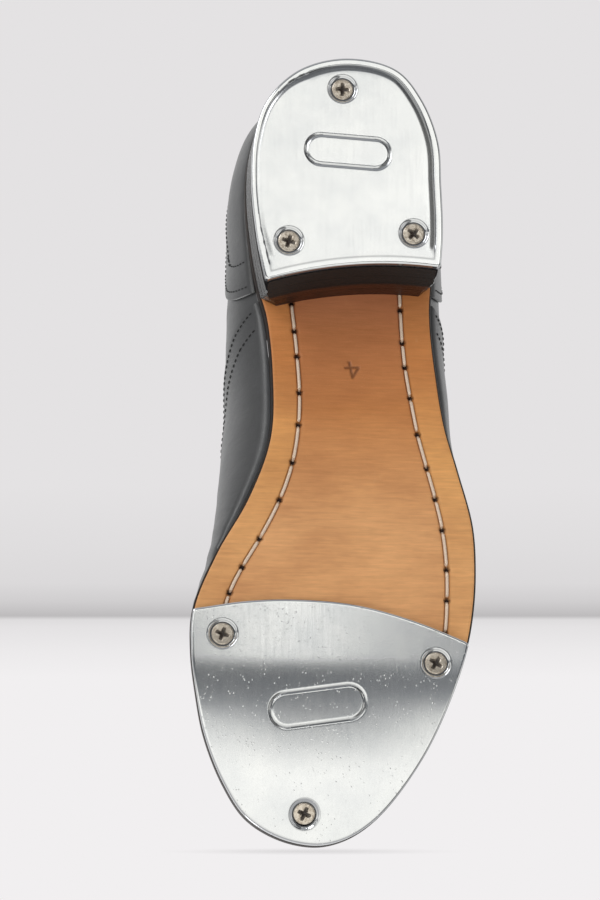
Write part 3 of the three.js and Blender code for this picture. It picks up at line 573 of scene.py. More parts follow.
def triangulate(loop, extra, spacing, fine=()):
    """Plan triangles inside a loop through extra points and an even grid.

    Each fine area is (centre, half size, spacing)."""
    lo, hi = loop.min(0), loop.max(0)
    fixed = np.concatenate([loop, *extra]) if len(extra) else loop

    def grid(a, b, d):
        rows = np.arange(a[1], b[1], d * 0.866)
        columns = [np.arange(a[0] + (j % 2) * d / 2, b[0], d) for j in range(len(rows))]
        return np.concatenate([np.stack([x, np.full(len(x), y)], 1) for x, y in zip(columns, rows)])

    points = grid(lo, hi, spacing)
    local = []
    for centre, half, d in fine:
        centre, half = np.asarray(centre), np.asarray(half)
        points = points[~np.all(np.abs(points - centre) < half + d, axis=1)]
        local.append(grid(centre - half, centre + half, d))
    for chunk, d in [(points, spacing)] + [(q, fine[k][2]) for k, q in enumerate(local)]:
        ok = inside(chunk, loop)
        chunk = chunk[ok]
        near = np.full(len(chunk), 1e9)
        for k in range(0, len(fixed), 64):
            gap = np.linalg.norm(chunk[:, None] - fixed[None, k : k + 64], axis=2).min(1)
            near = np.minimum(near, gap)
        fixed = np.concatenate([fixed, chunk[near > 0.55 * d]])
    n = len(loop)
    edges = [(i, (i + 1) % n) for i in range(n)]
    verts, _, faces, *_ = delaunay_2d_cdt([Vector(p) for p in fixed.tolist()], edges, [], 1, 1e-5)
    plan = np.array([tuple(v) for v in verts])
    return plan, [tuple(f) for f in faces]


def boundary_loop(faces):
    """The outer edge of a set of faces, in order."""
    following = {}
    seen = {(f[i], f[(i + 1) % len(f)]) for f in faces for i in range(len(f))}
    for a, b in seen:
        if (b, a) not in seen:
            following[a] = b
    start = next(iter(following))
    loop = [start]
    while following[loop[-1]] != start:
        loop.append(following[loop[-1]])
    return loop


def plate(plan, faces, low, high, levels=1):
    """A solid plate over plan triangles, between heights at the plan points.

    Returns vertices, faces, kinds (0 underside, 1 wall, 2 top) and each vertex's plan point."""
    n = len(plan)
    verts = [world(plan[:, 0], plan[:, 1], low), world(plan[:, 0], plan[:, 1], high)]
    source = [np.arange(n), np.arange(n)]
    loop = boundary_loop(faces)
    out = [tuple(f) for f in faces] + [tuple(i + n for i in f[::-1]) for f in faces]
    kinds = [0] * len(faces) + [2] * len(faces)
    rings = [np.array(loop)]
    base = 2 * n
    for k in range(1, levels):
        t = k / levels
        verts.append(world(plan[loop, 0], plan[loop, 1], low[loop] * (1 - t) + high[loop] * t))
        source.append(np.array(loop))
        rings.append(np.arange(base, base + len(loop)))
        base += len(loop)
    rings.append(np.array(loop) + n)
    for a, b in zip(rings, rings[1:]):
        for i in range(len(loop)):
            j = (i + 1) % len(loop)
            out.append((a[j], a[i], b[i], b[j]))
            kinds.append(1)
    return np.concatenate(verts), out, kinds, np.concatenate(source)


def circle(centre, radius, count):
    """Points round a circle."""
    a = np.linspace(0, 2 * np.pi, count, endpoint=False)
    return np.stack([centre[0] + radius * np.cos(a), centre[1] + radius * np.sin(a)], 1)


# ---------------------------------------------------------------- materials
def linear(r, g, b):
    """A linear colour from 0..255 values."""
    def one(v):
        v = v / 255
        return v / 12.92 if v <= 0.04045 else ((v + 0.055) / 1.055) ** 2.4

    return (one(r), one(g), one(b), 1.0)


class Tree:
    """A node tree put together node by node."""

    def __init__(self, owner):
        owner.use_nodes = True
        self.nodes = owner.node_tree.nodes
        self.links = owner.node_tree.links
        self.nodes.clear()
        self.coordinates = self.nodes.new("ShaderNodeTexCoord").outputs

    def put(self, socket, value):
        if isinstance(value, bpy.types.NodeSocket):
            self.links.new(value, socket)
        else:
            socket.default_value = value

    def span(self, value, a, b, c=0.0, d=1.0, soft=False):
        node = self.nodes.new("ShaderNodeMapRange")
        node.interpolation_type = "SMOOTHSTEP" if soft else "LINEAR"
        self.put(node.inputs["Value"], value)
        for key, v in zip(("From Min", "From Max", "To Min", "To Max"), (a, b, c, d)):
            node.inputs[key].default_value = v
        return node.outputs["Result"]

    def ramp(self, value, stops):
        node = self.nodes.new("ShaderNodeValToRGB")
        self.put(node.inputs[0], value)
        while len(node.color_ramp.elements) < len(stops):
            node.color_ramp.elements.new(0.5)
        for element, (position, color) in zip(node.color_ramp.elements, stops):
            element.position = position
            element.color = color
        return node.outputs[0]

    def calc(self, operation, a, b=0.0):
        node = self.nodes.new("ShaderNodeMath")
        node.operation = operation
        self.put(node.inputs[0], a)
        self.put(node.inputs[1], b)
        return node.outputs["Value"]

    def add(self, a, b):
        return self.calc("ADD", a, b)

    def mul(self, a, b):
        return self.calc("MULTIPLY", a, b)

    def mix(self, share, a, b, blend="MIX"):
        node = self.nodes.new("ShaderNodeMix")
        node.data_type = "RGBA"
        node.blend_type = blend
        self.put(node.inputs[0], share)
        self.put(node.inputs[6], a)
        self.put(node.inputs[7], b)
        return node.outputs[2]

    def blend(self, share, a, b):
        """A mix of two shaders."""
        node = self.nodes.new("ShaderNodeMixShader")
        self.put(node.inputs[0], share)
        self.links.new(a.outputs[0], node.inputs[1])
        self.links.new(b.outputs[0], node.inputs[2])
        return node

    def output(self, shader, kind="ShaderNodeOutputMaterial"):
        self.links.new(shader.outputs[0], self.nodes.new(kind).inputs[0])


class Finish(Tree):
    """A procedural material in the row frame's metres."""

    def __init__(self, name):
        self.material = bpy.data.materials.new(name)
        super().__init__(self.material)
        self.place = self.coordinates["Object"]

    def stretched(self, scale, vector=None, turn=(0, 0, 0)):
        node = self.nodes.new("ShaderNodeMapping")
        self.put(node.inputs["Vector"], vector or self.place)
        node.inputs["Scale"].default_value = scale
        node.inputs["Rotation"].default_value = turn
        return node.outputs["Vector"]

    def noise(self, scale, detail=3, rough=0.5, vector=None):
        node = self.nodes.new("ShaderNodeTexNoise")
        self.put(node.inputs["Vector"], vector or self.place)
        node.inputs["Scale"].default_value = scale
        node.inputs["Detail"].default_value = detail
        node.inputs["Roughness"].default_value = rough
        return node.outputs["Fac"]

    def cells(self, scale, feature="F1", vector=None):
        node = self.nodes.new("ShaderNodeTexVoronoi")
        node.feature = feature
        self.put(node.inputs["Vector"], vector or self.place)
        node.inputs["Scale"].default_value = scale
        return node.outputs["Distance"]

    def waves(self, scale, direction, vector=None, distort=0.0):
        node = self.nodes.new("ShaderNodeTexWave")
        node.bands_direction = direction
        self.put(node.inputs["Vector"], vector or self.place)
        node.inputs["Scale"].default_value = scale
        node.inputs["Distortion"].default_value = distort
        node.inputs["Detail"].default_value = 2
        return node.outputs["Fac"]

    def attribute(self, name):
        node = self.nodes.new("ShaderNodeAttribute")
        node.attribute_name = name
        return node.outputs["Fac"]

    def uv(self):
        return self.nodes.new("ShaderNodeUVMap").outputs["UV"]

    def axis(self, k):
        node = self.nodes.new("ShaderNodeSeparateXYZ")
        self.put(node.inputs[0], self.place)
        return node.outputs[k]

    def bump(self, height, distance, strength=1.0, under=None):
        node = self.nodes.new("ShaderNodeBump")
        self.put(node.inputs["Height"], height)
        node.inputs["Distance"].default_value = distance
        node.inputs["Strength"].default_value = strength
        if under is not None:
            self.put(node.inputs["Normal"], under)
        return node.outputs["Normal"]

    def done(self, color, rough, relief=None, metal=0.0, **sockets):
        shader = self.nodes.new("ShaderNodeBsdfPrincipled")
        self.put(shader.inputs["Base Color"], color)
        self.put(shader.inputs["Roughness"], rough)
        self.put(shader.inputs["Metallic"], metal)
        if relief is not None:
            self.put(shader.inputs["Normal"], relief)
        for key, value in sockets.items():
            self.put(shader.inputs[key.replace("_", " ")], value)
        self.output(shader)
        return self.material


def black_leather():
    f = Finish("upper_leather")
    grain = f.cells(1900, "DISTANCE_TO_EDGE", f.stretched((1, 1, 1), turn=(0.3, 0.5, 0.2)))
    pores = f.noise(5200, 2)
    folds = f.noise(55, 4, 0.55, f.stretched((0.5, 2.4, 1.2)))
    wear = f.noise(120, 5, 0.65)
    height = f.add(f.mul(f.span(grain, 0, 0.25), 0.5), f.mul(pores, 0.35))
    relief = f.bump(height, 0.00006, 0.55, f.bump(folds, 0.0009, 0.5))
    tint = f.mix(f.span(wear, 0.45, 0.75), linear(42, 43, 45), linear(52, 53, 56))
    rough = f.span(f.add(wear, f.mul(pores, 0.3)), 0.4, 0.95, 0.36, 0.5)
    return f.done(tint, rough, relief, Specular_IOR_Level=0.8, Coat_Weight=0.35, Coat_Roughness=0.24)


def tan_leather():
    f = Finish("sole_leather")
    y = f.axis(1)
    outside = f.attribute("outside")
    pit = f.attribute("pit")
    along = f.span(y, 0.06, -0.05)
    stops = [
        (0.0, linear(207, 131, 97)), (0.2, linear(210, 135, 86)), (0.45, linear(217, 144, 84)),
        (0.8, linear(246, 184, 126)),
    ]
    base = f.ramp(along, stops)
    edge_stops = [
        (0.0, linear(226, 150, 88)), (0.3, linear(228, 150, 84)), (0.6, linear(250, 184, 112)),
        (0.9, linear(250, 188, 124)),
    ]
    base = f.mix(f.mul(outside, 0.85), base, f.ramp(along, edge_stops))
    cloud = f.noise(34, 4, 0.6, f.stretched((1, 1.6, 1)))
    base = f.mix(f.span(cloud, 0.35, 0.75, 0, 0.42), base, linear(166, 99, 58))
    fibres = f.noise(900, 4, 0.62, f.stretched((0.12, 1.3, 1)))
    base = f.mix(f.span(fibres, 0.3, 0.72, 0.26, 0.0), base, linear(140, 80, 44))
    specks = f.noise(2600, 2)
    base = f.mix(f.span(specks, 0.62, 0.8, 0, 0.35), base, linear(224, 172, 116))
    scuff = f.noise(150, 5, 0.7, f.stretched((1, 0.35, 1), turn=(0, 0, 0.6)))
    base = f.mix(f.span(scuff, 0.66, 0.8, 0, 0.3), base, linear(226, 176, 124))
    # The pit attribute is painted shade: the pits, the lines beside the thread, the channel and the numeral go
    # dark brown.
    base = f.mix(pit, base, linear(38, 16, 8))
    wrinkles = f.noise(420, 5, 0.6, f.stretched((0.16, 1.5, 1)))
    relief = f.bump(f.add(wrinkles, f.mul(specks, 0.25)), 0.00022, 0.5, f.bump(cloud, 0.0012, 0.35))
    rough = f.span(fibres, 0.3, 0.8, 0.38, 0.6)
    return f.done(base, rough, relief, Specular_IOR_Level=0.3)


def edge_ink():
    f = Finish("sole_edge_ink")
    grain = f.noise(600, 4, 0.6, f.stretched((1, 1, 3)))
    tint = f.mix(f.span(grain, 0.4, 0.7), linear(22, 17, 15), linear(54, 39, 30))
    return f.done(
        tint, f.span(grain, 0.3, 0.8, 0.4, 0.6), f.bump(grain, 0.00012, 0.5), Specular_IOR_Level=0.2
    )


def heel_lacquer():
    f = Finish("heel_lacquer")
    layers = f.waves(1460, "Z", distort=1.0)
    smear = f.noise(160, 4, 0.6, f.stretched((1, 1, 0.3)))
    tint = f.mix(f.span(smear, 0.45, 0.8), linear(9, 8, 9), linear(26, 23, 22))
    relief = f.bump(layers, 0.00004, 0.6, f.bump(smear, 0.0003, 0.3))
    return f.done(tint, f.span(smear, 0.3, 0.8, 0.14, 0.3), relief, Coat_Weight=0.3, Coat_Roughness=0.08)


def heel_rubber():
    f = Finish("heel_rubber")
    crumbs = f.cells(1500, "F1")
    dust = f.noise(2400, 3, 0.7)
    tint = f.mix(f.span(dust, 0.5, 0.78), linear(28, 27, 28), linear(66, 63, 63))
    relief = f.bump(f.add(crumbs, dust), 0.00022, 0.85)
    return f.done(tint, f.span(dust, 0.3, 0.8, 0.6, 0.9), relief, Specular_IOR_Level=0.0)


def heel_breast():
    f = Finish("heel_breast")
    z = f.axis(2)
    dust = f.noise(2400, 3, 0.7)
    grain = f.noise(700, 4, 0.6, f.stretched((0.15, 1, 1.6)))
    edge = f.add(z, f.mul(f.noise(260, 3), 0.0012))
    inked = f.span(edge, 0.0158, 0.0168)
    black = f.mix(f.span(dust, 0.5, 0.78), linear(6, 5, 5), linear(30, 27, 27))
    brown = f.mix(f.span(grain, 0.35, 0.7), linear(42, 20, 12), linear(74, 38, 23))
    relief = f.bump(f.add(f.cells(1500, "F1"), dust), 0.0002, 0.7, f.bump(grain, 0.0003, 0.4))
    return f.done(f.mix(inked, black, brown), f.span(inked, 0, 1, 0.72, 0.36), relief)


def tap_metal():
    f = Finish("tap_metal")
    rim = f.attribute("rim")
    painted_shade = f.attribute("painted_shade")
    brush = f.noise(1400, 4, 0.65, f.stretched((1, 0.05, 1)))
    cross = f.noise(900, 3, 0.6, f.stretched((0.08, 1, 1), turn=(0, 0, 0.2)))
    cloud = f.noise(60, 4, 0.6)
    nick_size = f.cells(900, "F1")
    nick_mask = f.noise(190, 3, 0.7)
    nicks = f.mul(f.span(nick_size, 0.22, 0.1), f.span(nick_mask, 0.46, 0.6))
    nicks = f.mul(nicks, f.span(f.axis(1), -0.02, 0.03, 1.0, 0.15))
    sparkle = f.noise(2600, 3, 0.7)
    tint = f.mix(f.span(cloud, 0.3, 0.75), linear(228, 229, 230), linear(212, 214, 217))
    tint = f.mix(f.span(brush, 0.5, 0.8, 0, 0.06), tint, linear(176, 178, 184))
    tint = f.mix(f.mul(nicks, 0.5), tint, linear(250, 250, 252))
    # Painted shade: dark bluish grey in the gaps round the screws, in the mark's groove, inside the heel tap's
    # rim and on its breast wall.
    tint = f.mix(painted_shade, tint, linear(58, 60, 66))
    tint = f.mix(f.span(sparkle, 0.35, 0.75, 0.14, 0.0), tint, linear(150, 152, 158))
    height = f.add(f.mul(brush, 0.6), f.mul(cross, 0.3))
    height = f.add(height, f.mul(sparkle, 0.5))
    relief = f.bump(height, 0.00001, 0.5, f.bump(nicks, 0.00006, 0.6))
    matt = f.span(brush, 0.3, 0.75, 0.155, 0.195)
    rough = f.add(f.mul(matt, f.calc("SUBTRACT", 1.0, rim)), f.mul(rim, 0.1))
    # Where shade is painted, the metal also turns dull and non-metallic.
    return f.done(tint, rough, relief, metal=f.span(painted_shade, 0.75, 0.95, 1.0, 0.0))


def screw_nickel():
    f = Finish("screw_nickel")
    recess = f.attribute("recess")
    wear = f.noise(1200, 4, 0.65)
    tint = f.mix(f.span(wear, 0.4, 0.7), linear(214, 205, 193), linear(166, 152, 136))
    # Painted shade: the cross and its well turn dark brown and lose their metal with the cut's depth.
    tint = f.mix(recess, tint, linear(46, 34, 26))
    relief = f.bump(wear, 0.00005, 0.6)
    return f.done(tint, f.span(wear, 0.3, 0.8, 0.24, 0.42), relief, metal=f.span(recess, 0.1, 0.7, 1.0, 0.0))


def sole_thread():
    f = Finish("sole_thread")
    uv = f.uv()
    twist = f.waves(1.0, "DIAGONAL", f.stretched((2.0, 16.0, 1), uv))
    fuzz = f.noise(2600, 3, 0.6)
    tint = f.mix(f.span(fuzz, 0.35, 0.75), linear(250, 232, 212), linear(232, 202, 176))
    # The twist's grooves are painted darker as shade.
    tint = f.mix(f.span(twist, 0.0, 0.25, 0.3, 0.0), tint, linear(170, 124, 100))
    relief = f.bump(f.add(twist, f.mul(fuzz, 0.4)), 0.0001, 0.6)
    return f.done(tint, 0.55, relief)


def black_thread():
    f = Finish("black_thread")
    twist = f.noise(3500, 3, 0.6, f.stretched((1, 1, 1), turn=(0.5, 0.4, 0.8)))
    tint = f.mix(twist, linear(12, 12, 13), linear(34, 34, 36))
    return f.done(tint, 0.6, f.bump(twist, 0.0001, 0.6))


def lining_leather():
    f = Finish("lining_leather")
    grain = f.noise(1500, 4, 0.6)
    cloud = f.noise(45, 4, 0.6)
    tint = f.mix(f.span(cloud, 0.3, 0.75), linear(196, 172, 142), linear(168, 141, 109))
    tint = f.mix(f.span(grain, 0.35, 0.7, 0.25, 0.0), tint, linear(128, 100, 72))
    return f.done(
        tint, f.span(grain, 0.3, 0.8, 0.55, 0.75), f.bump(grain, 0.00012, 0.5, f.bump(cloud, 0.0008, 0.3))
    )


def sock_leather():
    f = Finish("sock_leather")
    grain = f.cells(1500, "DISTANCE_TO_EDGE")
    cloud = f.noise(38, 4, 0.6)
    tint = f.mix(f.span(cloud, 0.3, 0.75), linear(178, 146, 106), linear(140, 106, 72))
    return f.done(
        tint, f.span(cloud, 0.3, 0.8, 0.5, 0.7),
        f.bump(f.span(grain, 0, 0.2), 0.0001, 0.4, f.bump(cloud, 0.001, 0.3))
    )


def hidden_finish(name, a, b, scale, rough, metal=0.0):
    f = Finish(name)
    grain = f.noise(scale, 5, 0.65)
    chips = f.cells(scale * 0.6)
    tint = f.mix(f.span(grain, 0.35, 0.7), a, b)
    return f.done(
        tint, f.span(grain, 0.3, 0.8, rough - 0.1, rough + 0.1),
        f.bump(f.add(grain, chips), 0.0002, 0.5), metal=metal
    )


def lace_cotton():
    f = Finish("lace_cotton")
    uv = f.uv()
    left = f.waves(1.0, "DIAGONAL", f.stretched((3.0, 12.0, 1), uv))
    right = f.waves(1.0, "DIAGONAL", f.stretched((-3.0, 12.0, 1), uv))
    braid = f.calc("MAXIMUM", left, right)
    fuzz = f.noise(3000, 3, 0.6)
    # The braid's ridges are painted lighter than its grooves: painted highlight and shade.
    tint = f.mix(f.span(braid, 0.3, 0.9), linear(12, 12, 13), linear(44, 44, 47))
    return f.done(
        tint, f.span(fuzz, 0.3, 0.8, 0.55, 0.8),
        f.bump(f.add(braid, f.mul(fuzz, 0.4)), 0.00022, 0.7)
    )


def eyelet_enamel():
    f = Finish("eyelet_enamel")
    chips = f.noise(1400, 4, 0.7)
    tint = f.mix(f.span(chips, 0.66, 0.74), linear(18, 18, 19), linear(120, 112, 96))
    return f.done(
        tint, f.span(chips, 0.3, 0.8, 0.2, 0.42), f.bump(chips, 0.00006, 0.5), Coat_Weight=0.5,
        Coat_Roughness=0.12
    )


LEATHER = black_leather()
TAN = tan_leather()
EDGE = edge_ink()
LACQUER = heel_lacquer()
RUBBER = heel_rubber()
BREAST = heel_breast()
TAP = tap_metal()
NICKEL = screw_nickel()
SOLE_THREAD = sole_thread()
THREAD = black_thread()
LINING = lining_leather()
SOCK = sock_leather()
LACE = lace_cotton()
ENAMEL = eyelet_enamel()
# Pieces inside the upper keep their CAD shape and get a material each.
HIDDEN = {
    "forefoot_filler": hidden_finish("cork", linear(178, 136, 92), linear(122, 84, 52), 500, 0.85),
    "insole_board": hidden_finish("fibre_board", linear(160, 132, 98), linear(126, 98, 68), 900, 0.8),
    "toe_puff": hidden_finish("fibre_puff", linear(150, 124, 94), linear(118, 92, 66), 900, 0.8),
    "heel_stiffener": hidden_finish("fibre_stiffener", linear(150, 124, 94), linear(118, 92, 66), 900, 0.8),
    "shank": hidden_finish("shank_steel", linear(150, 152, 156), linear(104, 106, 112), 700, 0.4, 1.0),
}
for node, material in HIDDEN.items():
    mesh = frame["nodes"][node].data
    mesh.materials.clear()
    mesh.materials.append(material)

# ---------------------------------------------------------------- heel
# The heel's hollow front face: distance from the back at its ends and middle, lean over its height.
BREAST_MEDIAL = 74.6
BREAST_LATERAL = 69
BREAST_MIDDLE = 68.2
BREAST_LEAN = 4.2
BREAST_CENTRE = -6.8
BREAST_HALF = 30
HEEL_SIDE_COLUMNS = 150
BREAST_COLUMNS = 44
HEEL_ROWS = 5
HEEL_EDGE_EASE = 0.25


def breast_at(x, height):
    """Distance of the heel's front face from the heel's back."""
    w = (x - BREAST_CENTRE) / BREAST_HALF
    mean = (BREAST_MEDIAL + BREAST_LATERAL) / 2
    bow = (mean - BREAST_MIDDLE) * (1 - w * w)
    return mean + (BREAST_MEDIAL - BREAST_LATERAL) / 2 * w - bow + BREAST_LEAN * height / HEEL_HEIGHT


def heel_loop(inset, height, around_count, breast_count, corner=0.5):
    """The heel's outline at a height, from the lateral corner round the back, then across the breast."""
    p = inset_outline(inset)
    start = np.concatenate([p[STEPS // 2 :], p[: STEPS // 2]])
    ahead = start[:, 0] - breast_at(start[:, 1], height)
    behind = np.flatnonzero(ahead < 0)
    first, last = behind[0], behind[-1]

    def crossing(i, j):
        t = ahead[i] / (ahead[i] - ahead[j])
        return start[i] + (start[j] - start[i]) * t

    a, b = crossing(first - 1, first), crossing(last, last + 1)
    back = np.concatenate([[a], start[first : last + 1], [b]])
    length = lengths_along(back)
    where = np.linspace(corner, length[-1] - corner, around_count)
    back = np.stack([np.interp(where, length, back[:, k]) for k in (0, 1)], 1)
    x = np.linspace(b[1] - corner, a[1] + corner, breast_count)
    return np.concatenate([back, np.stack([breast_at(x, height), x], 1)])


def corner_cut(z):
    """Size of the slanted facet at the breast's two upright corners."""
    return 0.4 + 3.4 * smooth(z, 12, 22)


def heel_layer(name, insets, low, high, node, side):
    """One layer of the heel, its breast face in a material of its own."""
    loops, heights = [], []
    for t in np.linspace(0, 1, HEEL_ROWS):
        z = low + (high - low) * t
        inset = insets[0] + (insets[1] - insets[0]) * t + (HEEL_EDGE_EASE if t in (0, 1) else 0)
        loops.append(heel_loop(inset, z, HEEL_SIDE_COLUMNS, BREAST_COLUMNS, corner_cut(z)))
        heights.append(z)
    n = HEEL_SIDE_COLUMNS + BREAST_COLUMNS
    rings = [
        world(p[:, 0], p[:, 1], np.minimum(z, sole_bottom(p[:, 0]) - GAP)) for p, z in zip(loops, heights)
    ]
    verts = np.concatenate(rings)
    _, faces = between_rings(HEEL_ROWS, n)
    column = np.tile(np.arange(n), HEEL_ROWS - 1)
    slots = ((column >= HEEL_SIDE_COLUMNS) & (column < n - 1)).astype(int).tolist()
    for k in (0, HEEL_ROWS - 1):
        plan, tris = triangulate(loops[k], [], 6.0)
        base = len(verts)
        z = np.minimum(heights[k], sole_bottom(plan[:, 0]) - GAP)
        verts = np.concatenate([verts, world(plan[:, 0], plan[:, 1], z)])
        faces += [tuple(i + base for i in (t if k == 0 else t[::-1])) for t in tris]
        slots += [0] * len(tris)
    obj = mesh_object(name, verts, faces, [side, BREAST], slots, crease=30)
    return finish_piece(obj, [node])


level = HEEL_TAP + GAP
heel_layer("heel_top_piece_body", (0.6, 0.5), level - 0.12, level + TOP_PIECE + 0.1, "heel_top_piece",
           RUBBER)
level += TOP_PIECE + GAP
for i in range(3):
    insets = 0.5 - 0.15 * i, 0.4 - 0.15 * i
    top = level + LIFT + (0.1 if i < 2 else 0.15)
    heel_layer(
        f"heel_lift_{i + 1}_body", insets, level - 0.1, top, f"heel_lift_{i + 1}", LACQUER
    )
    level += LIFT + GAP


# ---------------------------------------------------------------- taps
def turned(points, angle):
    """Points turned about the origin."""
    c, s = math.cos(angle), math.sin(angle)
    return points @ np.array(((c, s), (-s, c)))


def rounded_box(points, centre, half, radius, angle):
    """Distance to the edge of a rounded box, negative inside."""
    d = np.abs(turned(points - np.asarray(centre), -angle)) - (np.asarray(half) - radius)
    return np.hypot(*np.maximum(d, 0).T) + np.minimum(d.max(1), 0) - radius


def rounded_loop(centre, half, radius, angle, step):
    """The outline of a rounded box."""
    h = np.asarray(half, float) - radius
    a = np.linspace(0, np.pi / 2, 5)
    corners = []
    for k, (sx, sy) in enumerate(((1, 1), (-1, 1), (-1, -1), (1, -1))):
        b = a + k * np.pi / 2
        corners.append(h * (sx, sy) + radius * np.stack([np.cos(b), np.sin(b)], 1))
    p = np.concatenate(corners + [corners[0][:1]])
    return turned(even(p, step)[:-1], angle) + np.asarray(centre)


RECESS_RINGS = (3.0, 3.25, 3.45, 3.7, 3.9, 4.2, 4.5, 4.75, 4.9, 5.1)
MARK_RINGS = (-1.2, -0.9, -0.6, -0.3, 0.0, 0.3, 0.6, 0.9, 1.2)


def tap_depth(points, edge_distance, screws, mark, rim_width, fall):
    """How far the tap's face is cut back, where it is polished, and where shade is painted dark on it."""
    depth = 0.35 * np.clip(1 - edge_distance / 0.6, 0, 1) ** 2
    narrow = 0.5 * smooth(points[:, 1], 6, 18) * smooth(points[:, 0], 68, 52) if fall else 0.0
    edge_distance = edge_distance * (1 + narrow)
    inner = smooth(edge_distance, rim_width - 0.15, rim_width + 0.1)
    behind = smooth(breast_at(points[:, 1], 0) - points[:, 0], 3.0, 7.0)
    depth = depth + fall * inner * behind * smooth(edge_distance, rim_width + 2.3, rim_width)
    # A dark line just inside the rim and a band towards the heel's back and lateral side are painted shade, on
    # the heel tap only.
    line = np.exp(-(((edge_distance - rim_width - 0.05) / 0.3) ** 2))
    rim = 1 - inner
    round_back = np.maximum(smooth(points[:, 1], 18, 6), smooth(points[:, 0], 22, 12)) * behind
    band = round_back * inner * smooth(edge_distance, rim_width + 1.9, rim_width)
    painted_shade = 0.5 * line + 0.35 * band if fall else 0 * line
    for x in screws:
        r = np.hypot(*(points - np.asarray(x)).T)
        depth = np.maximum(depth, 0.7 * smooth(r, 4.75, 3.75))
        depth = np.maximum(depth, 2.3 * smooth(r, 3.4, 3.2))
        rim = np.maximum(rim, smooth(r, 4.95, 4.7) * (r > 3.7))
        # The gap round each screw's head and a thin ring at the dish's outer edge are painted shade.
        painted_shade = np.maximum(painted_shade, 1.0 * smooth(r, 3.95, 3.7))
        painted_shade = np.maximum(painted_shade, 0.45 * np.exp(-(((r - 4.85) / 0.15) ** 2)))
    centre, half, angle = mark
    d = np.abs(rounded_box(points, centre, half, min(half) * 0.98, angle))
    depth = np.maximum(depth, 0.3 * np.exp(-((d / 0.42) ** 2)))
    # The mark's groove is painted dark as shade.
    painted_shade = np.maximum(painted_shade, 0.55 * np.exp(-((d / 0.32) ** 2)))
    return depth, rim, painted_shade


def tap(name, loop, low_at, high_at, screws, mark, rim_width, fall, node):
    """A tap over its plan loop, between two heights, with holes for the screws' heads and a grooved mark."""
    loop = even(np.concatenate([loop, loop[:1]]), 0.9)[:-1]
    extra = [inner_loop(loop, d) for d in np.arange(0.2, rim_width + 2.3, 0.24)]
    for centre in screws:
        extra += [circle(centre, r, 36) for r in RECESS_RINGS]
    centre, half, angle = mark
    for grow in MARK_RINGS:
        h = np.asarray(half) + grow
        extra.append(rounded_loop(centre, h, min(h) * 0.98, angle, 0.45))
    plan, faces = triangulate(loop, extra, 1.5)
    edge = loop_distance(plan, loop)
    depth, rim, painted_shade = tap_depth(plan, edge, screws, mark, rim_width, fall)
    low = low_at(*plan.T) + depth
    high = high_at(plan[:, 0])
    verts, out, _, source = plate(plan, faces, low, high, 3)
    rim, painted_shade = rim[source], painted_shade[source]
    rim[len(plan):] = 1
    breast_wall = smooth(plan[source[len(plan):], 0], 64, 66) if fall else 0.0
    # The heel tap's wall at the breast end is painted dark as shade.
    painted_shade[len(plan):] = 0.9 * breast_wall
    obj = mesh_object(name, verts, out, [TAP], crease=40, attributes={"rim": rim, "painted_shade": painted_shade})
    return finish_piece(obj, [node])


# Each mark: centre, half size and turn. Then the rim's width and how far the face lies below it.
HEEL_MARK = ((32, -4.6), (4.8, 13.2), 0.06)
TOE_MARK = ((207, 5.0), (5.2, 14.5), -0.14)
heel_plan = heel_loop(0.2, 1.5, 170, 50, 0.5)
tap("heel_tap_plate", heel_plan, lambda s, x: 0 * s, lambda s: 0 * s + HEEL_TAP, HEEL_SCREWS,
    HEEL_MARK, 2.2, 0.3, "heel_tap")


def toe_tap_loop():
    """The toe tap in plan: the sole's outline in front, its own bowed edge behind."""
    rear = curve(TOE_TAP_REAR)(np.linspace(0, 1, 200))
    plan = inset_outline(0.1)
    limit = np.interp(plan[:, 1], rear[::-1, 1], rear[::-1, 0])
    front = plan[plan[:, 0] > limit]
    gap = np.argmax(np.linalg.norm(np.roll(front, -1, 0) - front, axis=1))
    front = np.roll(front, -gap - 1, 0)
    a, b = front[-1], front[0]
    if a[1] > b[1]:
        front = front[::-1]
        a, b = front[-1], front[0]
    inner = rear[(rear[:, 1] > a[1] + 0.5) & (rear[:, 1] < b[1] - 0.5)]
    inner = inner[np.argsort(inner[:, 1])]
    return np.concatenate([front, inner])


def toe_low(s, x):
    """The tap's face: it follows the sole and rolls up very slightly towards its sides."""
    return sole_bottom(s) - GAP - TOE_TAP / np.cos(sole_tilt(s)) + 0.00025 * x * x


toe_heads = [(s + TOE_TAP * math.sin(float(sole_tilt(s))), x) for s, x in TOE_SCREWS]
tap("toe_tap_plate", toe_tap_loop(), toe_low, lambda s: sole_bottom(s) - GAP + 0.1, toe_heads,
    TOE_MARK, 0.7, 0.0, "toe_tap")


# ---------------------------------------------------------------- screws
HEAD_RADIUS = 3.45


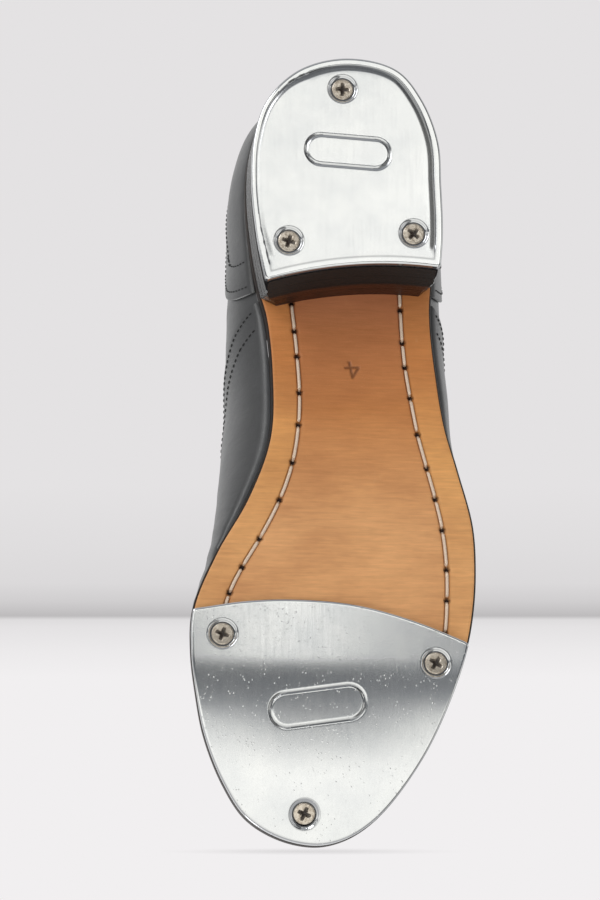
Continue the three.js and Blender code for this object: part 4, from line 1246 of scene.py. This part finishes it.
def screw(name, place, tilt, turn, node):
    """A cross-head screw seen from its head: a fine domed disc with a tapering cross cut into it."""
    loop = circle((0, 0), HEAD_RADIUS, 64)
    plan, faces = triangulate(loop, [circle((0, 0), r, 64) for r in (3.3, 3.1, 2.9)], 0.24)
    r = np.hypot(*plan.T)
    c, s = math.cos(turn), math.sin(turn)
    u, v = plan[:, 0] * c + plan[:, 1] * s, plan[:, 1] * c - plan[:, 0] * s
    cut = np.zeros(len(plan))
    for along, across in ((u, v), (v, u)):
        width = 0.56 - 0.08 * np.abs(along)
        arm = smooth(np.abs(across), width + 0.14, width - 0.1) * smooth(np.abs(along), 2.15, 1.8)
        cut = np.maximum(cut, arm)
    well = smooth(r, 1.0, 0.5)
    cut = np.maximum(cut, well)
    depth = (1.15 - 0.25 * r) * cut
    edge = smooth(r, 3.15, HEAD_RADIUS) ** 2
    top = 0.3 + 0.08 * r**2 / 9 + 0.4 * edge + np.maximum(depth, 0)
    n = len(plan)
    ring = boundary_loop(faces)
    skirt = [(HEAD_RADIUS, 1.25), (1.6, 2.5), (1.6, 5.0)]
    verts = [np.stack([plan[:, 0], plan[:, 1], top], 1)]
    for radius, z in skirt:
        p = plan[ring] / np.linalg.norm(plan[ring], axis=1, keepdims=True) * radius
        verts.append(np.column_stack([p, np.full(len(ring), z)]))
    out = [tuple(f) for f in faces]
    rings = [np.array(ring)] + [n + k * len(ring) + np.arange(len(ring)) for k in range(len(skirt))]
    for a, b in zip(rings, rings[1:]):
        out += [(a[(i + 1) % len(ring)], a[i], b[i], b[(i + 1) % len(ring)]) for i in range(len(ring))]
    out.append(tuple(rings[-1]))
    local = np.concatenate(verts)
    # How deep the cross is cut, for the painted shade in it.
    recess = np.concatenate([np.clip(depth * 1.1, 0, 1), np.zeros(len(local) - n)])
    rotation = np.array(Matrix.Rotation(-tilt, 3, "X"))
    obj = mesh_object(
        name, local @ rotation.T + place, out, [NICKEL], crease=50, attributes={"recess": recess}
    )
    return finish_piece(obj, [node])


for i, ((s, x), turn) in enumerate(zip(HEEL_SCREWS, (0.05, 0.3, 0.7))):
    screw(f"heel_screw_{i + 1}", world(s, x, 0.0), 0.0, turn, f"heel_tap_screw_{i + 1}")
for i, ((s, x), turn) in enumerate(zip(TOE_SCREWS, (0.35, 0.55, 0.4))):
    tilt = float(sole_tilt(s))
    out = np.array((0, -math.sin(tilt), -math.cos(tilt)))
    face = world(s, x, float(sole_bottom(s)) - GAP) + out * TOE_TAP
    screw(f"toe_screw_{i + 1}", face, tilt, turn, f"toe_tap_screw_{i + 1}")

# ---------------------------------------------------------------- outsole and its stitching
medial_line = curve(PITS_MEDIAL)(np.linspace(0, 1, 160))
lateral_line = curve(PITS_LATERAL)(np.linspace(0, 1, 160))


# The size numeral pressed into the waist: where it stands, and its three strokes.
NUMERAL = np.array((98.3, -7.5))
STROKES = (((-2.8, 0.9), (2.5, 0.0)), ((2.5, 0.0), (-0.8, -1.9)), ((-0.9, 2.1), (-1.1, -1.9)))


def outsole():
    """The outsole, with sunk thread channels, pits and the size numeral."""
    loop = even(np.concatenate([edge_points, edge_points[:1]]), 1.1)[:-1]
    extra = [inner_loop(loop, d) for d in (0.25, 0.6, 1.0, 1.5)]
    for path in (medial_line, lateral_line):
        line = even(path, 0.8)
        side = np.gradient(line, axis=0)
        side = np.stack([side[:, 1], -side[:, 0]], 1) / np.linalg.norm(side, axis=1, keepdims=True)
        extra += [line + side * d for d in (-2.0, -1.4, -0.95, -0.6, -0.25, 0.25, 0.6, 0.95, 1.4, 2.0)]
    for centre in PITS_MEDIAL + PITS_LATERAL:
        extra += [circle(centre, r, 12) for r in (0.45, 1.15)]
    plan, faces = triangulate(loop, extra, 2.2, fine=[(NUMERAL, (4.2, 4.2), 0.4)])
    edge = loop_distance(plan, loop)
    low = sole_bottom(plan[:, 0])
    round_off = 0.9 * np.clip(1 - edge / 1.0, 0, 1) ** 2
    lines = np.minimum(loop_distance(plan, medial_line, False), loop_distance(plan, lateral_line, False))
    channel = 0.75 * smooth(lines, 1.05, 0.45)
    pits = np.full(len(plan), 9.0)
    for centre in PITS_MEDIAL + PITS_LATERAL:
        pits = np.minimum(pits, np.hypot(*(plan - np.asarray(centre)).T))
    pit = smooth(pits, 1.3, 0.75)
    stamp = np.full(len(plan), 9.0)
    for stroke in STROKES:
        stamp = np.minimum(stamp, loop_distance(plan - NUMERAL, np.array(stroke), False))
    numeral = smooth(stamp, 0.62, 0.2)
    low = low + round_off + channel + 0.8 * pit + 0.4 * numeral
    verts, out, kinds, source = plate(plan, faces, low, sole_top(plan[:, 0]), 4)
    inner = np.concatenate([medial_line, lateral_line[::-1]])
    outside = 1 - inside(plan, inner).astype(float)
    # Painted shade: dark in the thread's pits, in thin lines beside the thread, along the channel and in the
    # numeral's pressed strokes.
    beside_thread = 0.32 * smooth(lines, 1.05, 0.8) * (lines > 0.5)
    dark = np.maximum.reduce([pit, beside_thread, 0.4 * smooth(lines, 0.8, 0.5), 0.55 * numeral])
    slots = []
    for f, kind in zip(out, kinds):
        rim = kind == 0 and edge[list(source[list(f)])].max() < 0.62
        slots.append(1 if kind == 1 or rim else 0)
    obj = mesh_object("outsole_leather", verts, out, [TAN, EDGE], slots, crease=45,
                      attributes={"outside": outside[source], "pit": dark[source]})
    return finish_piece(obj, ["outsole"])


outsole()


def sole_stitches(name, pits, path):
    """The thread between the pits along one side."""
    parts, coords = [], []
    for a, b in zip(pits, pits[1:]):
        i = int(np.argmin(np.hypot(*(path - np.asarray(a)).T)))
        j = int(np.argmin(np.hypot(*(path - np.asarray(b)).T)))
        run = even(path[i : j + 1], 0.5)
        length = np.concatenate([[0], np.cumsum(np.hypot(*np.diff(run, axis=0).T))])
        at = np.linspace(0.75, length[-1] - 0.75, 22)
        s = np.interp(at, length, run[:, 0])
        x = np.interp(at, length, run[:, 1])
        t = np.linspace(0, 1, 22)
        dip = 1.7 * (smooth(t, 0.11, 0.0) + smooth(t, 0.89, 1.0))
        z = sole_bottom(s) + 0.3 + dip
        verts, faces, uv = tube(world(s, x, z), 0.5, 10)
        parts.append((verts, faces))
        coords.append(uv)
    verts, faces = join(parts)
    obj = mesh_object(name, verts, faces, [SOLE_THREAD], uv=np.concatenate(coords))
    return finish_piece(obj)


sole_stitches("sole_stitching_medial", PITS_MEDIAL, medial_line)
sole_stitches("sole_stitching_lateral", PITS_LATERAL, lateral_line)

# ---------------------------------------------------------------- upper
BACK_SEAM = 0.0014


def rise_below(turn, distance):
    """The rise at a distance below the top of each rib."""
    turn = np.asarray(turn, float)
    q = np.linspace(1, 0.4, 120)
    p = surface(turn[:, None], q[None])
    steps = np.cumsum(np.linalg.norm(np.diff(p, axis=1), axis=2), axis=1)
    length = np.concatenate([np.zeros((len(turn), 1)), steps], 1)
    return np.array([np.interp(distance, length[i], q) for i in range(len(turn))])


def creases(p):
    """Faint folds across the flex line of the forefoot."""
    s = BACK_Y - p[..., 1]
    x = p[..., 0]
    wave = np.sin((s + 0.12 * x) * 0.55) * np.sin((s - 0.2 * x) * 0.21 + 1.0)
    return 0.28 * wave * smooth(s, 140, 156) * smooth(s, 200, 182)


quarters = {
    "medial": (straight((BACK_SEAM, 0), (BACK_SEAM, 1)), seam("medial", QUARTER_FRONT)),
    "lateral": (seam("lateral", QUARTER_FRONT), straight((2 - BACK_SEAM, 0), (2 - BACK_SEAM, 1))),
}


def lining_depth(turn, rise):
    """The lining thins out towards the edges of the facings."""
    s = edge_at(turn)[0][..., 0]
    return LINING_LAYER[0] + 1.3 * smooth(rise, 0.72, 0.95) * smooth(s, 88, 98)


def shell(name, solid, node, edge=0.4, material=LEATHER, body="shoe"):
    """A leather piece from (vertices, faces), its edges rounded off."""
    obj = mesh_object(name, *solid, [material], crease=55)
    if edge:
        soften(obj, edge)
    return finish_piece(obj, [node], body)


for side, (start, end) in quarters.items():
    shell(f"quarter_{side}_leather", patch(start, end, QUARTER_LAYER, 96, 36), f"quarter_{side}")
    solid = patch(start, end, LINING_LAYER, 70, 28, inner_offset=lining_depth)
    shell(f"lining_{side}_leather", solid, f"quarter_lining_{side}", 0.3, LINING)

shell("vamp_leather", hood(VAMP_SEAM, OVERLAY_LAYER, 44, 84, creases), "vamp")
shifted = [(s + 9, rise) for s, rise in QUARTER_FRONT]
shell("vamp_lining_leather", hood(shifted, LINING_LAYER, 30, 50), "vamp_lining", 0, LINING)
shell("toe_cap_leather", hood(CAP_SEAM, CAP_LAYER, 44, 50), "toe_cap")

counter_front = {
    "medial": seam("medial", COUNTER_FRONT),
    "lateral": seam("lateral_back", COUNTER_FRONT),
}
top_half = {
    "medial": [(float(turn_at("medial", s)), rise) for s, rise in COUNTER_TOP],
    "lateral": [(float(turn_at("lateral", s)) - 2 if s else 0.0, rise) for s, rise in COUNTER_TOP],
}
top_half["medial"][-1] = (0.0, 0.82)
counter_top = curve(top_half["lateral"] + top_half["medial"][::-1][1:])
solid = patch(counter_front["lateral"], counter_front["medial"], OVERLAY_LAYER, 120, 26, top=counter_top)
shell("heel_counter_leather", solid, "heel_counter")

# Binding round the foot opening.
turns = np.linspace(float(turn_at("lateral", 94)) - 2, float(turn_at("medial", 94)), 240)
along = surface(turns + 0.004, 1.0) - surface(turns - 0.004, 1.0)
upwards = unit(np.cross(along, normal(turns, np.ones_like(turns))))
binding_path = upper(turns, 1.0, np.full_like(turns, -1.7)) + upwards * 1.6
verts, faces, uv = tube(binding_path, 2.3, 20)
finish_piece(
    mesh_object("collar_binding_leather", verts, faces, [LEATHER], uv=uv), ["collar_binding"]
)


# ---------------------------------------------------------------- seams
STITCH_PITCH = 1.9
STITCH_LENGTH = 1.4
STITCH_RADIUS = 0.24
STITCH_SIDES = 6
# One stitch from end to end: share of its length, share of its radius and lift off the surface.
STITCH_RINGS = [
    (-0.5, 0.2, -0.75), (-0.42, 0.75, -0.35), (-0.2, 1.0, 0.2), (0.2, 1.0, 0.2), (0.42, 0.75, -0.35),
    (0.5, 0.2, -0.75),
]


def stitch_row(name, points, normals):
    """Short stitches end to end along a path on the surface."""
    step = lengths_along(points)
    count = int(step[-1] // STITCH_PITCH)
    middle = (np.arange(count) + 0.5) * STITCH_PITCH

    def along(values, where):
        return np.stack([np.interp(where, step, values[:, k]) for k in range(3)], 1)

    at, out = along(points, middle), unit(along(normals, middle))
    ahead = unit(along(points, middle + 0.3) - along(points, middle - 0.3))
    side = unit(np.cross(out, ahead))
    a = np.linspace(0, 2 * np.pi, STITCH_SIDES, endpoint=False)[None, :, None]
    rings = []
    for t, share, lift in STITCH_RINGS:
        centre = at + ahead * t * STITCH_LENGTH + out * lift * STITCH_RADIUS
        ring = np.cos(a) * side[:, None] + np.sin(a) * out[:, None]
        rings.append(centre[:, None] + share * STITCH_RADIUS * ring)
    verts = np.stack(rings, 1)
    base, one = between_rings(len(STITCH_RINGS), STITCH_SIDES)
    one += [tuple(base[0][::-1]), tuple(base[-1])]
    faces = [tuple(i + base.size * k for i in f) for k in range(count) for f in one]
    return finish_piece(mesh_object(name, verts.reshape(-1, 3), faces, [THREAD]))


def beside(path, distance, layer):
    """A path of [turn, rise] moved sideways over the surface by a distance, as points and normals."""
    step = 0.002
    p = np.array(path, float)
    for _ in range(3):
        turn, rise = p.T
        n = normal(turn, rise)
        d_turn = (surface(turn + step, rise) - surface(turn - step, rise)) / (2 * step)
        low, high = np.maximum(rise - step, 0), np.minimum(rise + step, 1)
        d_rise = (surface(turn, high) - surface(turn, low)) / (high - low)[:, None]
        tangent = unit(np.gradient(surface(turn, rise), axis=0))
        side = np.cross(n, tangent) * distance / 3
        aa, ab, bb = (np.sum(u * v, 1) for u, v in ((d_turn, d_turn), (d_turn, d_rise), (d_rise, d_rise)))
        ra, rb = np.sum(d_turn * side, 1), np.sum(d_rise * side, 1)
        det = np.maximum(aa * bb - ab * ab, 1e-6)
        p = p + np.stack([(ra * bb - rb * ab) / det, (rb * aa - ra * ab) / det], 1)
    edge = surface(*np.array(path, float).T)
    away = np.linalg.norm(surface(*p.T)[:, None] - edge[None], axis=2).min(1)
    keep = (p[:, 1] > 0.04) & (p[:, 1] < 0.995) & (away > 0.93 * abs(distance))
    p = p[keep]
    turn, rise = p.T
    return upper(turn, rise, np.full(len(turn), layer)), normal(turn, rise)


t = np.linspace(0, 1, 200)
for side, sign in (("medial", 1), ("lateral", -1)):
    edge = seam(side, VAMP_SEAM)(t)
    for k, distance in enumerate((1.6, 7.6)):
        points, normals = beside(edge, sign * distance, OVERLAY_LAYER[1] + 0.02)
        stitch_row(f"vamp_stitching_{side}_{k + 1}", points, normals)
    edge = counter_front[side](t)
    edge = np.concatenate([edge, curve(top_half[side])(t)[1:]])
    for k, distance in enumerate((2.7, 11.0)):
        points, normals = beside(edge, -sign * distance, OVERLAY_LAYER[1] + 0.02)
        stitch_row(f"counter_stitching_{side}_{k + 1}", points, normals)
    s = np.linspace(97, 152, 60)
    turns = turn_at(side, s)
    for k, distance in enumerate((2.0, 15.5)):
        rise = rise_below(turns, distance)
        points = upper(turns, rise, np.full(len(turns), 0.02))
        stitch_row(f"facing_stitching_{side}_{k + 1}", points, normal(turns, rise))

for k, shift in enumerate((2.2, 4.6)):
    q = np.linspace(0.02, 1, 100)
    medial = np.stack([seam_turn("medial", CAP_SEAM, q, shift), q], 1)
    lateral = np.stack([seam_turn("lateral", CAP_SEAM, q, shift), q], 1)[::-1][1:]
    path = np.concatenate([medial, lateral])
    n = normal(path[:, 0], np.minimum(path[:, 1], 0.985))
    points = surface(path[:, 0], path[:, 1]) + n * (CAP_LAYER[1] + 0.02)
    stitch_row(f"cap_stitching_{k + 1}", points, n)

turns = np.linspace(float(turn_at("lateral", 94)) - 2, float(turn_at("medial", 94)), 260)
rise = rise_below(turns, 2.6)
stitch_row("topline_stitching", upper(turns, rise, np.full(len(turns), 0.02)), normal(turns, rise))

# ---------------------------------------------------------------- eyelets, tongue and lace
eyelets = {"medial": [], "lateral": []}
EYELET_PROFILE = [
    (1.7, -4.2), (2.3, -4.2), (2.3, 0.0), (3.2, 0.02), (3.48, 0.22), (3.42, 0.55), (3.1, 0.85), (2.6, 1.0),
    (2.15, 0.92), (1.85, 0.6), (1.7, 0.1),
]
for side in ("medial", "lateral"):
    for i, s in enumerate(EYELETS):
        turn = np.array([float(turn_at(side, s))])
        rise = rise_below(turn, 9.0)
        centre = upper(turn, rise, np.zeros(1))[0]
        out = normal(turn, rise)[0]
        eyelets[side].append((centre, out))
        turned_out = Vector((0, 0, 1)).rotation_difference(Vector(out)).to_matrix().to_4x4()
        matrix = Matrix.Translation(Vector(centre)) @ turned_out
        verts, faces = lathe(EYELET_PROFILE, 32, matrix)
        obj = mesh_object(f"eyelet_{side}_{i + 1}_ring", verts, faces, [ENAMEL], crease=70)
        finish_piece(obj, [f"eyelet_{side}_{i + 1}"])


def tongue_grid(offset, rows=48, half_columns=18):
    """The tongue's surface at an offset, as rows from its base to its tip."""
    s = np.linspace(170, 106, rows + 1)[:, None]
    low = np.linspace(0.8, 0.81, rows + 1)[:, None]
    share = np.linspace(0, 1, half_columns + 1)[None]
    rise = low + (0.985 - low) * share
    halves = []
    for side in ("medial", "lateral"):
        turn = np.broadcast_to(turn_at(side, s), rise.shape)
        halves.append(upper(turn, rise, np.full(rise.shape, offset)))
    grid = np.concatenate([halves[0], halves[1][:, ::-1]], 1)
    last, before = grid[-1], grid[-1 - rows // 6]
    middle = grid.shape[1] // 2
    direction = unit(last[middle] - before[middle])
    from_middle = np.abs(np.arange(grid.shape[1]) - middle + 0.5) / middle
    taper = 1 - 0.35 * from_middle[:, None] ** 2
    extra = [last + direction * 15 * share * taper for share in np.linspace(0.1, 1, 10)]
    return np.concatenate([grid, np.stack(extra)])


solid = closed_grid(tongue_grid(TONGUE_LAYER[1]), tongue_grid(TONGUE_LAYER[0]))
shell("tongue_leather", solid, "tongue", 0.7, body="tongue_flap")

knots = []
for i, pair in enumerate(range(len(EYELETS) - 1, -1, -1)):
    order = ("medial", "lateral") if i % 2 == 0 else ("lateral", "medial")
    (a, na), (b, nb) = (eyelets[side][pair] for side in order)
    knots += [a + na * h for h in (-6.2, -1.8, 2.6)]
    knots.append((a + b) / 2 + np.array((0, -1, 6.2)))
    knots += [b + nb * h for h in (2.6, -1.8, -6.2)]
lace_path = even(curve(knots)(np.linspace(0, 1, 3000)), 0.6)
verts, faces, uv = tube(lace_path, 1.15, 14)
finish_piece(mesh_object("lace_cord", verts, faces, [LACE], uv=uv), ["lace"])


# ---------------------------------------------------------------- sock lining
def sock():
    """The sock lining inside the shoe."""
    loop = even(np.concatenate([p := inset_outline(11.3, 2), p[:1]]), 1.6)[:-1]
    plan, faces = triangulate(loop, [inner_loop(loop, d) for d in (0.5, 1.2)], 4.0)
    base = sole_top(plan[:, 0]) + 2 * GAP + 1.6 + 2.2 + GAP
    edge = loop_distance(plan, loop)
    high = base + 1.2 - 0.35 * np.clip(1 - edge / 1.0, 0, 1) ** 2
    verts, out, _, _ = plate(plan, faces, base, high, 1)
    return finish_piece(
        mesh_object("sock_lining_leather", verts, out, [SOCK]), ["sock_lining"]
    )


sock()


# ---------------------------------------------------------------- stage
def floor_material(name, color, fade, grazing=False, strength=1.0, glow=0.0):
    """A pale one-sided surface that fades out with distance from its own middle."""
    f = Finish(name)
    far = f.nodes.new("ShaderNodeVectorMath")
    far.operation = "LENGTH"
    f.links.new(f.place, far.inputs[0])
    shown = f.span(far.outputs["Value"], *fade, strength, 0.0, soft=True)
    behind = f.nodes.new("ShaderNodeNewGeometry").outputs["Backfacing"]
    shown = f.mul(shown, f.calc("SUBTRACT", 1.0, behind))
    if grazing:
        facing = f.nodes.new("ShaderNodeLayerWeight")
        facing.inputs["Blend"].default_value = 0.5
        shown = f.mul(shown, f.span(facing.outputs["Facing"], 0.7, 0.8))
    grain = f.noise(40, 3)
    diffuse = f.nodes.new("ShaderNodeBsdfDiffuse")
    f.put(diffuse.inputs["Color"], f.mix(f.span(grain, 0.4, 0.6, 0.0, 0.02), color, linear(200, 200, 200)))
    own = f.nodes.new("ShaderNodeEmission")
    # The glowing floor's colour darkens near the shoe: a painted contact shadow.
    near = f.nodes.new("ShaderNodeAmbientOcclusion")
    near.inputs["Distance"].default_value = 0.07
    f.put(own.inputs["Color"], f.mix(f.span(near.outputs["AO"], 0.1, 1.0), linear(120, 120, 122), color))
    own.inputs["Strength"].default_value = 0.95
    paint = f.blend(glow, diffuse, own)
    f.output(f.blend(shown, f.nodes.new("ShaderNodeBsdfTransparent"), paint))
    return f.material


def sheet_object(name, size, material, matrix):
    """A square that only the camera sees."""
    mesh = bpy.data.meshes.new(name)
    corners = [(-size, -size, 0), (size, -size, 0), (size, size, 0), (-size, size, 0)]
    mesh.from_pydata(corners, [], [(0, 1, 2, 3)])
    mesh.materials.append(material)
    obj = bpy.data.objects.new(name, mesh)
    obj.matrix_world = matrix
    scene.collection.objects.link(obj)
    obj.visible_diffuse = False
    obj.visible_glossy = False
    obj.visible_shadow = False


FLOOR_DROP = 0.0002
floor_paint = floor_material("floor_paint", linear(238, 238, 239), (0.35, 1.6), glow=0.9)
sheet_object("floor", 2.2, floor_paint, Matrix.Translation((0, 0, -FLOOR_DROP)))
toe_contact = Vector((0.006, -0.1266, 0.016)) - UP * 2 * FLOOR_DROP
depth = RIGHT.cross(UP).normalized()
patch_basis = Matrix((RIGHT, -depth, UP)).transposed().to_4x4()
stretch = Matrix.Diagonal((1.0, 0.22, 1.0, 1.0))
shadow_paint = floor_material(
    "toe_shadow_paint", linear(60, 60, 62), (0.0, 0.05), grazing=True, strength=0.18
)
sheet_object("toe_shadow", 0.08, shadow_paint, Matrix.Translation(toe_contact) @ patch_basis @ stretch)

# The backdrop's greys by height, from the floor in front up past the wall's foot; the darkening on both sides of
# where floor meets wall, deepest at the join, is painted shade.
BACKDROP = [
    (0.0, 241), (0.1, 241), (0.22, 236), (0.335, 228), (0.368, 222), (0.386, 189), (0.42, 199), (0.455, 208),
    (0.54, 219), (0.7, 223), (1.0, 228),
]
# Brightness of the room below the shoe, by lean from the toe side (0) to the heel side (1).
BELOW = [
    (0.0, 1.0), (0.15, 1.25), (0.28, 1.3), (0.304, 1.0), (0.328, 0.4), (0.36, 0.22), (0.46, 0.18),
    (0.55, 0.12), (0.565, 0.8), (0.576, 2.1), (0.592, 1.9), (0.604, 1.36), (0.625, 1.22), (0.7, 1.2),
    (0.74, 0.5), (0.78, 0.15), (0.9, 0.12), (1.0, 0.4),
]
WARM, COOL = (1.0, 0.995, 0.945), (0.96, 1.0, 1.04)
# Where the dark parts of the room bend: side, distance aside, strength, limit and the leans that fade it in.
BENDS = [
    ("MINIMUM", 0.07, 12.0, 0.1, []),
    ("MINIMUM", 0.105, 90.0, 0.15, [(0.205, 0.185)]),
    ("MINIMUM", 0.095, 130.0, 0.2, [(0.205, 0.185), (0.02, 0.12)]),
    ("MAXIMUM", 0.09, 62.0, 0.21, [(0.05, -0.12)]),
    ("MAXIMUM", 0.045, 500.0, 0.1, [(0.205, 0.185), (0.02, 0.12)]),
]
# Brightness by direction from straight down (0) to straight up (1), and the dark flag on the lateral side.
ABOVE = [(0.0, 0.6), (0.45, 0.5), (0.7, 0.55), (0.85, 0.85), (1.0, 0.7)]
FLAG = [(0.0, 1.0), (0.12, 1.0), (0.2, 0.15), (0.32, 0.12), (0.36, 1.0)]


def grey(stops):
    """Ramp stops from plain levels."""
    return [(place, (level, level, level, 1)) for place, level in stops]


def room_world():
    """A pale room: what the camera sees behind the shoe, and softly graded light for everything else."""
    room = bpy.data.worlds.new("room")
    f = Tree(room)
    view = f.coordinates["Generated"]

    def dot(vector):
        node = f.nodes.new("ShaderNodeVectorMath")
        node.operation = "DOT_PRODUCT"
        f.links.new(view, node.inputs[0])
        node.inputs[1].default_value = vector
        return node.outputs["Value"]

    ahead = dot(FORWARD)
    height = f.calc("DIVIDE", dot(UP), f.calc("MAXIMUM", ahead, 0.2))
    wall = f.ramp(f.span(height, -0.07, -0.01), [(p, linear(v, v - 2, v - 1)) for p, v in BACKDROP])
    pale = f.mix(f.span(ahead, 0.8, 0.9), linear(233, 232, 233), wall)

    downward = dot((0, 0, -1))
    across = dot((1, 0, 0))
    plain_lean = f.calc("DIVIDE", dot((0, 1, 0)), f.calc("MAXIMUM", downward, 0.15))
    lean = plain_lean
    for side, middle, amount, most, fades in BENDS:
        aside = f.calc(side, f.add(across, middle), 0.0)
        bend = f.calc("MINIMUM", f.mul(f.mul(aside, aside), amount), most)
        for nothing, full in fades:
            bend = f.mul(bend, f.span(plain_lean, nothing, full))
        lean = f.calc("SUBTRACT", lean, bend)
    tinted = [(p, (*(v * c for c in (WARM if v > 0.7 else COOL)), 1)) for p, v in BELOW]
    below = f.ramp(f.span(lean, -1.0, 1.0), tinted)
    flag = f.ramp(f.add(f.mul(across, 0.5), 0.5), grey(FLAG))
    below = f.mix(1.0, below, flag, "MULTIPLY")
    above = f.ramp(f.add(f.mul(downward, -0.5), 0.5), grey(ABOVE))
    light = f.mix(f.span(downward, 0.25, 0.6), above, below)

    seen, lit = (f.nodes.new("ShaderNodeBackground") for _ in range(2))
    f.links.new(pale, seen.inputs["Color"])
    f.links.new(light, lit.inputs["Color"])
    lit.inputs["Strength"].default_value = 1.08
    path = f.nodes.new("ShaderNodeLightPath")
    f.output(f.blend(path.outputs["Is Camera Ray"], lit, seen), "ShaderNodeOutputWorld")
    scene.world = room


room_world()


def softbox(name, position, target, size, power):
    """A square lamp that the camera doesn't see."""
    light = bpy.data.lights.new(name, "AREA")
    light.shape = "RECTANGLE"
    light.size = light.size_y = size
    light.energy = power
    obj = bpy.data.objects.new(name, light)
    position, target = Vector(position), Vector(target)
    aim = (target - position).to_track_quat("-Z", "Y").to_matrix().to_4x4()
    obj.matrix_world = Matrix.Translation(position) @ aim
    obj.visible_camera = False
    scene.collection.objects.link(obj)


softbox("key", (0.7, 0.75, -0.8), (0, 0, 0.02), 0.6, 4)
softbox("overhead", (0.8, -0.9, 1.1), (0, 0, 0.03), 0.7, 5)

scene.view_settings.view_transform = "Standard"
scene.view_settings.look = "None"
